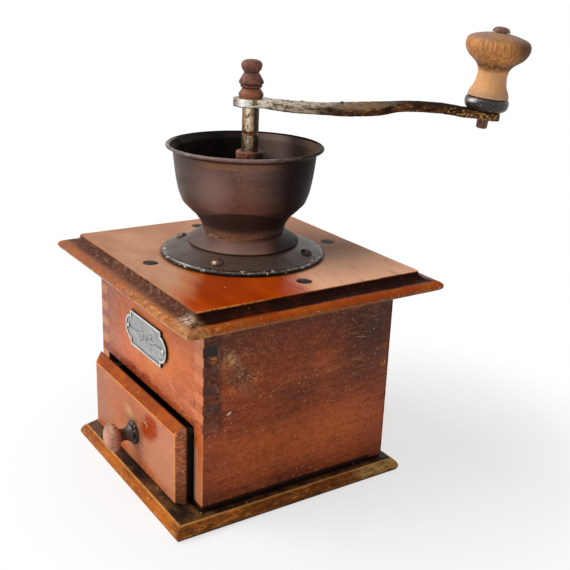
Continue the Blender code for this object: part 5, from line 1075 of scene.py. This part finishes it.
arm_bm = softened("crank_arm", 0.0003)
bmesh.ops.triangulate(arm_bm, faces=[f for f in arm_bm.faces if len(f.verts) > 4])
for cut_length in (0.006, 0.003, 0.0016):
    long_edges = [e for e in arm_bm.edges if e.calc_length() > cut_length]
    bmesh.ops.subdivide_edges(arm_bm, edges=long_edges, cuts=1, use_grid_fill=True)
arm_bm.normal_update()
arm_tree = BVHTree.FromBMesh(arm_bm)
for v in arm_bm.verts:
    outward = (Vector((v.co.x, v.co.y)) - Vector((SPINDLE_X, SPINDLE_Y))).length
    if 0.007 < outward < 0.108:
        scale_off = noise.noise(v.co * 620) * 0.00012 + noise.noise(v.co * 190) * 0.00005
        v.co += v.normal * scale_off * (1.5 if outward < 0.06 else 0.8)
blister_random = random.Random(7)
for n in range(26):
    far = 0.01 + 0.042 * blister_random.random() ** 1.3 if n else 0.046
    wide = 0.00042 * (0.7 + 0.8 * blister_random.random()) if n else 0.0009
    aside = (0.0054 - far * 0.02) * blister_random.choice((-1, -1, 1, 0.3))
    spot = Vector((SPINDLE_X + cos(ARM_AZIMUTH) * far - sin(ARM_AZIMUTH) * aside,
                   SPINDLE_Y + sin(ARM_AZIMUTH) * far + cos(ARM_AZIMUTH) * aside, 0.2))
    hit = arm_tree.ray_cast(spot, Vector((0, 0, -1)))[0]
    if hit:
        turned = Matrix.Translation(hit) @ Matrix.Rotation(blister_random.uniform(0, 3), 4, "Z")
        shape = Matrix.Diagonal((wide * 1.4, wide, wide * 0.8, 1))
        bmesh.ops.create_icosphere(arm_bm, subdivisions=2, radius=1.0, matrix=turned @ shape)
finished("crank_arm_piece", arm_bm, arm_metal, "crank", ["crank_arm"], 40)


# ---- Finial nut
# A turned iron nut with two bulbs, screwed on the spindle's end, where it clamps the arm.
# It is evenly brown with rust.
# Painted shade darkens it towards its outline on both sides.

finial_rust = new_finish("finial_rust", 0.6, metallic=0.1, specular=0.2)
spots = cloud(0.0018, 5.0, 0.7)
coat(ramp(spots, 0.36, 0.66), (0.24, 0.09, 0.06), (0.115, 0.05, 0.038))
height = own(2)
lay((0.33, 0.105, 0.05), ramp(height, 0.204, 0.2, 0.0, 0.7))
for crevice, wide in ((0.2099, 0.0009), (0.2037, 0.0004), (0.2022, 0.0007)):
    dark_ring = band(height, crevice - 0.0001, crevice + 0.0001, wide)
    lay((0.03, 0.014, 0.01), dark_ring, 0.7)
# Painted shade: the nut is painted darker towards its outline on both sides, as the camera sees it.
limb = sums("ABSOLUTE", sideways_from(0.001, 0.0016))
lay((0.028, 0.012, 0.009), ramp(limb, 0.0036, 0.0062, 0.0, 0.85))
set_look(ramp(spots, 0.3, 0.7, 0.4, 0.7), spots, 0.0003)
NUT_LOW, NUT_RADIUS, NUT_HEIGHT = 0.1974, 0.0063, 0.019
nut_shares = [(0.42, 0.985), (0.7, 0.945), (0.83, 0.885), (0.85, 0.834), (0.83, 0.79), (0.76, 0.73),
              (0.64, 0.676), (0.61, 0.65), (0.68, 0.606), (0.86, 0.512), (1.0, 0.417), (0.97, 0.372),
              (0.885, 0.345), (0.83, 0.333), (0.88, 0.318), (0.895, 0.3), (0.86, 0.282), (0.77, 0.262),
              (0.75, 0.24), (0.85, 0.182), (0.97, 0.125), (1.0, 0.095), (0.99, 0.05), (0.93, 0.0)]
nut_line = flowing([(NUT_RADIUS * r, NUT_LOW + NUT_HEIGHT * h) for r, h in nut_shares], 4)
nut_profile = [(0.0, NUT_LOW + NUT_HEIGHT)] + nut_line + [(0.0027, NUT_LOW), (0.0027, 0.207), (0.0, 0.207)]
finished("finial_nut_piece", about_axis(spun(nut_profile, 72)), finial_rust, "crank",
         ["finial_nut"], 60)


# ---- Knob pin, ferrule and grip
# A rivet leans out with the crank's eye. On it spin a black iron cup and a turned grip of pale bare wood,
# darkened by hands at its crown and full of grime below its bulb.
# The cup carries a painted highlight and the grip painted shade on its right side.

KNOB_LEAN = radians(5.7)
KNOB_PLACE = (Matrix.Translation((0.07333, 0.0942, 0.1968)) @ Matrix.Rotation(ARM_AZIMUTH, 4, "Z")
              @ Matrix.Rotation(KNOB_LEAN, 4, "Y"))


def on_knob(bm):
    """Moves a turned piece to the knob's leaning axis."""
    bmesh.ops.transform(bm, matrix=KNOB_PLACE, verts=bm.verts)
    return bm


rivet_iron = new_finish("rivet_iron", 0.5, metallic=0.4)
spots = cloud(0.0016, 5.0, 0.7)
coat(ramp(spots, 0.36, 0.66), (0.2, 0.085, 0.055), (0.085, 0.042, 0.032))
set_look(ramp(spots, 0.3, 0.7, 0.35, 0.6), spots, 0.0003)
GRIP_LOW, GRIP_RADIUS, GRIP_HEIGHT = 0.0067, 0.0158, 0.0308
GRIP_TOP = GRIP_LOW + GRIP_HEIGHT
pin_head = flowing([(0.0016, GRIP_TOP + 0.0028), (0.0032, GRIP_TOP + 0.0023), (0.0041, GRIP_TOP + 0.0013),
                    (0.0043, GRIP_TOP + 0.0003)], 3)
pin_profile = [(0.0, GRIP_TOP + 0.0029)] + pin_head
pin_profile += [(0.0028, GRIP_TOP + 0.0003), (0.0028, -0.0083), (0.0022, -0.0089), (0.0, -0.0089)]
finished("knob_pin_piece", on_knob(spun(pin_profile, 48)), rivet_iron, "crank", ["knob_pin"])

ferrule_black = new_finish("ferrule_black", 0.3, metallic=0.3)
chips = cloud((0.0026, 0.0026, 0.0018), 5.0, 0.7)
coat(ramp(chips, 0.35, 0.6), (0.05, 0.045, 0.041), (0.016, 0.014, 0.013))
lay((0.36, 0.25, 0.16), ramp(chips, 0.61, 0.66))
# Painted highlight on the cup.
lit_place = near((0.0738, 0.0843, 0.2022), (0.0046, 0.0046, 0.0014))
lay((0.72, 0.66, 0.62), lit_place)
set_look(ramp(chips, 0.4, 0.7, 0.22, 0.5), chips, 0.0003)
ferrule_line = flowing([(0.0096, 0.0064), (0.0103, 0.0061), (0.0108, 0.0053), (0.0109, 0.0042), (0.0108, 0.003),
                        (0.0103, 0.0016), (0.0094, 0.0007), (0.0087, 0.0003)], 4)
ferrule_profile = [(0.0088, 0.0064)] + ferrule_line + [(0.0031, 0.0003), (0.0031, 0.0019), (0.0088, 0.0019)]
finished("knob_ferrule_piece", on_knob(spun(ferrule_profile, 72)), ferrule_black, "knob",
         ["knob_ferrule"], 50)

knob_wood = new_finish("knob_wood", 0.55, specular=0.12)
streaks = cloud((0.0011, 0.0011, 0.012), 4.0, 0.6)
pores = cloud((0.0004, 0.0004, 0.004), 3.0, 0.6)
tone = cloud((0.012, 0.012, 0.014))
coat(ramp(streaks, 0.35, 0.68), (0.68, 0.31, 0.105), (0.36, 0.125, 0.032))
lay((0.4, 0.19, 0.075), ramp(tone, 0.4, 0.7, 0.0, 0.5))
lay((0.12, 0.055, 0.025), ramp(pores, 0.55, 0.7, 0.0, 0.75))
height = axis_of(cells((1, 1, 1), (0.0748, 0.0961, 0.2035), turn=(0, KNOB_LEAN, 0)), 2)
neck = ramp(height, 0.0155, 0.0115, 0.0, 1.0)
lay((0.76, 0.4, 0.18), neck, 0.7)
smudge = cloud((0.0035, 0.0035, 0.0022), 5.0, 0.7)
grime = both(ramp(height, 0.0118, 0.015), ramp(height, 0.019, 0.016), ramp(smudge, 0.38, 0.56, 0.15, 0.85))
lay((0.085, 0.042, 0.022), grime)
lay((0.85, 0.6, 0.38), specks(0.0016, 0.22, 0.26), ramp(height, 0.021, 0.016))
# Painted shade: the grip's right side, as the camera sees it, is painted dark.
to_right = sideways_from(0.0756, 0.097)
lay((0.075, 0.028, 0.009), ramp(to_right, 0.0, 0.012, 0.0, 0.95))
base_grey = ramp(height, 0.006, 0.0015, 0.0, 0.45)
lay((0.36, 0.24, 0.17), base_grey)
crown_grey = ramp(height, 0.0262, 0.0298)
lay((0.25, 0.16, 0.11), crown_grey, ramp(tone, 0.35, 0.6, 0.55, 0.9))
set_look(ramp(streaks, 0.3, 0.7, 0.42, 0.6), streaks, 0.0003)
grip_shares = [(0.267, 1), (0.49, 0.982), (0.671, 0.96), (0.82, 0.936), (0.932, 0.902), (0.991, 0.847),
               (1, 0.77), (0.938, 0.687), (0.845, 0.623), (0.72, 0.571), (0.584, 0.515), (0.497, 0.448),
               (0.466, 0.387), (0.466, 0.304), (0.509, 0.187), (0.609, 0.08), (0.64, 0.018), (0.64, 0)]
grip_line = flowing([(GRIP_RADIUS * r, GRIP_LOW + GRIP_HEIGHT * h) for r, h in grip_shares], 3)
grip_profile = [(0.0031, GRIP_TOP)] + grip_line + [(0.0085, GRIP_LOW), (0.0085, 0.0022), (0.0031, 0.0022)]
finished("knob_grip_piece", on_knob(spun(grip_profile, 96)), knob_wood, "knob", ["knob_grip"], 60)


# ---- Drawer box
# Thin softwood boards behind the drawer's front, grooved and glued round the bottom.
# They were never varnished and are stained dark by coffee.
# Near the front they are painted near black as painted shade in the gap behind the drawer's front.

box_wood = new_finish("box_wood", 0.65, specular=0.3)
relief = grain((0.105, 0.052, 0.026), (0.05, 0.026, 0.015), (0, 0, radians(90)))
stain = cloud((0.02, 0.03, 0.02), 4.0)
lay((0.036, 0.019, 0.012), ramp(stain, 0.42, 0.68, 0.0, 0.8))
# Painted shade: near the front the boards are painted near black, as in the gap behind the drawer's front.
gap_shade = ramp(own(1), -0.035, -0.05, 0.0, 0.85)
lay((0.01, 0.006, 0.004), gap_shade)
set_look(None, relief, 0.00015)
carried(box_wood, "drawer_side_left", "drawer_side_right", "drawer_back", "drawer_bottom")


# ---- Drawer front
# A bevelled board that overlaps the opening, faded salmon on its face and dark on the bevels, with a
# gouge and a glossy red spot where the old varnish survives.
# Its back is painted near black as painted shade.

FACE_Y = -0.0652

front_wood = new_finish("front_wood", 0.42, specular=0.25)
relief = grain((0.54, 0.158, 0.046), (0.45, 0.118, 0.034), streak=0.35)
across, depth_y, height = (own(axis) for axis in range(3))
blotches = cloud((0.012, 0.012, 0.009), 5.0, 0.65)
lay((0.62, 0.24, 0.105), ramp(height, 0.03, 0.014, 0.0, 0.5))
lay((0.37, 0.135, 0.075), ramp(across, -0.015, -0.046, 0.0, 0.8))
lay((0.55, 0.225, 0.135), ramp(across, 0.004, 0.026), 0.6)
foot = both(ramp(height, 0.015, 0.011), ramp(blotches, 0.4, 0.58))
lay((0.52, 0.1, 0.018), foot, 0.9)
weathered = cloud((0.0042, 0.004, 0.0026), 6.0, 0.75)
lay((0.34, 0.1, 0.045), ramp(weathered, 0.54, 0.66, 0.0, 0.35))
lay((0.68, 0.27, 0.12), ramp(weathered, 0.46, 0.36, 0.0, 0.3))
tooth = cloud((0.0012, 0.0012, 0.0009), 5.0, 0.8)
lay((0.26, 0.07, 0.028), ramp(tooth, 0.52, 0.68, 0.0, 0.3))
smear = cloud((0.006, 0.004, 0.0018), 5.0, 0.7)
spot = both(near((0.0205, FACE_Y, 0.0365), (0.0132, 0.02, 0.0092), 0.55, (0, radians(-26), 0)),
            ramp(smear, 0.28, 0.46, 0.3, 1.0))
lay((0.36, 0.042, 0.001), spot)
scrape = both(near((-0.0035, FACE_Y, 0.0352), (0.01, 0.02, 0.0046), 0.0, (0, radians(14), 0)),
              ramp(smear, 0.3, 0.55, 0.3, 1.0))
lay((0.66, 0.36, 0.15), scrape, 0.8)
dirt = near((0.0035, FACE_Y, 0.0258), (0.0125, 0.02, 0.0115), 0.5)
lay((0.2, 0.105, 0.06), dirt, ramp(smear, 0.35, 0.55, 0.2, 0.7))
nick_grid = cells((0.0032, 0.01, 0.0032))
nicks = both(near((0.015, FACE_Y, 0.0371), (0.0042, 0.02, 0.004), 0.4), lines(nick_grid, 0.03, 1.0))
lay((0.85, 0.66, 0.52), nicks)
top_bevel = ramp(height, 0.0448, 0.0462)
bevel_tone = tint(ramp(blotches, 0.38, 0.6), (0.4, 0.082, 0.006), (0.27, 0.048, 0.005))
lay(bevel_tone, top_bevel)
rough_grain = cloud(cells((0.0034, 0.0026, 0.0006), turn=(radians(20), 0, 0)), 5.0, 0.7)
ragged = tint(ramp(rough_grain, 0.36, 0.6), (0.54, 0.165, 0.068), (0.17, 0.055, 0.026))
ragged = tint(ramp(height, 0.03, 0.012, 0.0, 0.6), ragged, (0.1, 0.034, 0.018))
lay(ragged, ramp(across, 0.0484, 0.049))
lay((0.34, 0.09, 0.035), ramp(across, -0.0484, -0.0492), 0.6)
inner_x = sums("ABSOLUTE", sums("SUBTRACT", sums("ABSOLUTE", across), 0.0486))
inner_z = sums("ABSOLUTE", sums("SUBTRACT", height, 0.0458))
crest = sums("MAXIMUM", ramp(inner_x, 0.0006, 0.0002), ramp(inner_z, 0.0006, 0.0002))
crest = both(crest, ramp(depth_y, -0.064, -0.0648), ramp(smear, 0.35, 0.5, 0.3, 1.0))
lay((0.84, 0.34, 0.1), crest, 0.85)
lay((0.85, 0.55, 0.38), specks(0.0019, 0.07, 0.24), 0.6)
# Painted shade: the back of the board and the rear of its edges are painted near black, as in the gap against
# the case.
behind = ramp(depth_y, -0.0612, -0.0606)
lay((0.05, 0.018, 0.01), behind, 0.85)
matt = sums("MAXIMUM", top_bevel, sums("MAXIMUM", both(spot, 0.6), ramp(across, 0.0484, 0.049)))
shine = ramp(matt, 0.0, 1.0, 0.25, 0.06)
rough = ramp(spot, 0.0, 1.0, 0.44, 0.26)
set_look(rough, sums("ADD", relief, both(rough_grain, ramp(across, 0.0484, 0.049))), 0.00012, specular=shine)
front_bm = softened("drawer_front", 0.0003, 3, 12)
finished("drawer_front_piece", front_bm, front_wood, "drawer", ["drawer_front"])


# ---- Drawer knob
# A small turned wooden mushroom on an iron rosette. A screw from inside the drawer holds both.
# The wood is pale where fingers rub it and dark at its stem, the iron has brown chips.

KNOB_FACE = Matrix.Translation((0.0015, -0.0653, 0.0254)) @ Matrix.Rotation(radians(90), 4, "X")


def on_front(bm):
    """Moves a turned piece so that it stands out from the drawer's face."""
    bmesh.ops.transform(bm, matrix=KNOB_FACE, verts=bm.verts)
    return bm


small_knob_wood = new_finish("small_knob_wood", 0.4)
streaks = cloud((0.0014, 0.006, 0.001), 4.0, 0.6)
coat(ramp(streaks, 0.35, 0.66), (0.44, 0.175, 0.09), (0.25, 0.085, 0.04))
forward = own(1)
pale = near((0.0021, -0.0815, 0.0264), (0.007, 0.005, 0.0068), 0.2)
lay((0.66, 0.32, 0.2), pale, 0.75)
stem = ramp(forward, -0.0748, -0.0733)
lay((0.026, 0.014, 0.009), stem, 0.92)
set_look(ramp(streaks, 0.3, 0.7, 0.34, 0.5), streaks, 0.0002)
knob_shares = [(0.42, 0.98), (0.76, 0.9), (0.96, 0.79), (1, 0.69), (0.9, 0.57), (0.64, 0.49), (0.5, 0.42),
               (0.42, 0.24), (0.5, 0.1), (0.62, 0)]
KNOB_LOW, KNOB_RADIUS, KNOB_HEIGHT = 0.0024, 0.0077, 0.0139
small_line = flowing([(KNOB_RADIUS * r, KNOB_LOW + KNOB_HEIGHT * h) for r, h in knob_shares], 5)
small_profile = [(0.0, 0.0163)] + small_line + [(0.0015, KNOB_LOW), (0.0015, 0.011), (0.0, 0.011)]
finished("drawer_knob_piece", on_front(spun(small_profile, 72)), small_knob_wood, "drawer",
         ["drawer_knob"], 60)

rosette_iron = new_finish("rosette_iron", 0.45, metallic=0.4)
chips = cloud(0.0016, 4.0, 0.7)
coat(ramp(chips, 0.57, 0.64), (0.026, 0.019, 0.015), (0.42, 0.27, 0.15))
set_look(None, chips, 0.0002)
rosette_line = flowing([(0.0039, 0.0021), (0.0057, 0.0016), (0.0063, 0.001), (0.0063, 0.0003)], 3)
rosette_profile = [(0.0016, 0.0021)] + rosette_line + [(0.0016, 0.0003)]
rosette_bm = spun(rosette_profile, 96)
for v in rosette_bm.verts:
    from_axis = Vector((v.co.x, v.co.y)).length
    if from_axis > 0.003 and v.co.z > 0.0004:
        v.co += Vector((v.co.x, v.co.y, 0)) / from_axis * noise.noise(v.co * 900) * 0.0005
        v.co.z += noise.noise(v.co * 700 + Vector((5, 5, 5))) * 0.0004
finished("drawer_knob_rosette_piece", on_front(rosette_bm), rosette_iron, "drawer",
         ["drawer_knob_rosette"], 50)
carried(fitting_steel, "drawer_knob_screw")


# ---- Studio
# A white floor, a soft sun high on the left of the front and white surroundings.
# The camera stands where the corners of the case put that of the photograph.

floor_white = bpy.data.materials.new("floor_white")
floor_white.use_nodes = True
floor_nodes = floor_white.node_tree
floor_nodes.nodes.clear()
now["tree"] = floor_nodes
matte = add_step("ShaderNodeBsdfDiffuse", {"Color": (0.92, 0.915, 0.905, 1.0)})
bright = add_step("ShaderNodeEmission", {"Color": (1.0, 1.0, 1.0, 1.0), "Strength": 1.0})
ray = floor_nodes.nodes.new("ShaderNodeLightPath")
from_middle = add_step("ShaderNodeVectorMath", {0: cells((1, 1, 1), (0.03, 0.05, 0.0))}, 1, operation="LENGTH")
glow = ramp(from_middle, 0.115, 0.2, 0.66, 1.0)
share = both(ray.outputs["Is Camera Ray"], glow)
mixed = add_step("ShaderNodeMixShader", {0: share, 1: matte, 2: bright})
floor_output = floor_nodes.nodes.new("ShaderNodeOutputMaterial")
floor_nodes.links.new(mixed, floor_output.inputs["Surface"])
floor_mesh = bpy.data.meshes.new("floor")
floor_bm = bmesh.new()
bmesh.ops.create_grid(floor_bm, x_segments=1, y_segments=1, size=60.0)
floor_bm.to_mesh(floor_mesh)
floor_bm.free()
floor_mesh.materials.append(floor_white)
floor = bpy.data.objects.new("floor", floor_mesh)
bpy.context.scene.collection.objects.link(floor)

key_light = bpy.data.lights.new("key", "SUN")
key_light.energy = 2.6
key_light.angle = radians(50)
key = bpy.data.objects.new("key", key_light)
bpy.context.scene.collection.objects.link(key)
key.matrix_world = Vector((-0.34, -0.66, 0.67)).to_track_quat("Z", "Y").to_matrix().to_4x4()

world = bpy.data.worlds.new("white")
world.use_nodes = True
bpy.context.scene.world = world
now["tree"] = world.node_tree
ray = world.node_tree.nodes.new("ShaderNodeLightPath")
seen = sums("MAXIMUM", ray.outputs["Is Camera Ray"],
            sums("MAXIMUM", ray.outputs["Is Glossy Ray"], ray.outputs["Is Transmission Ray"]))
background = world.node_tree.nodes["Background"]
background.inputs["Color"].default_value = (1.0, 1.0, 1.0, 1.0)
world.node_tree.links.new(ramp(seen, 0.0, 1.0, 0.38, 1.0), background.inputs["Strength"])
bpy.context.scene.view_settings.view_transform = "Standard"

camera_data = bpy.data.cameras.new("camera")
camera_data.sensor_width = 36.0
camera_data.lens = 57.04
camera = bpy.data.objects.new("camera", camera_data)
bpy.context.scene.collection.objects.link(camera)
turn, rise, roll = radians(55.935), radians(19.248), radians(2.332)
back = Vector((sin(turn) * cos(rise), -cos(turn) * cos(rise), sin(rise)))
right = Vector((cos(turn), sin(turn), 0))
up = back.cross(right)
image_right = right * cos(roll) + up * sin(roll)
image_up = up * cos(roll) - right * sin(roll)
distance, shift_right, shift_down = 0.485111, 0.022897, 0.012477
eye = Vector((0, 0, 0.11)) + back * distance + image_right * shift_right - image_up * shift_down
camera.matrix_world = Matrix.Translation(eye) @ Matrix((image_right, image_up, back)).transposed().to_4x4()
bpy.context.scene.camera = camera
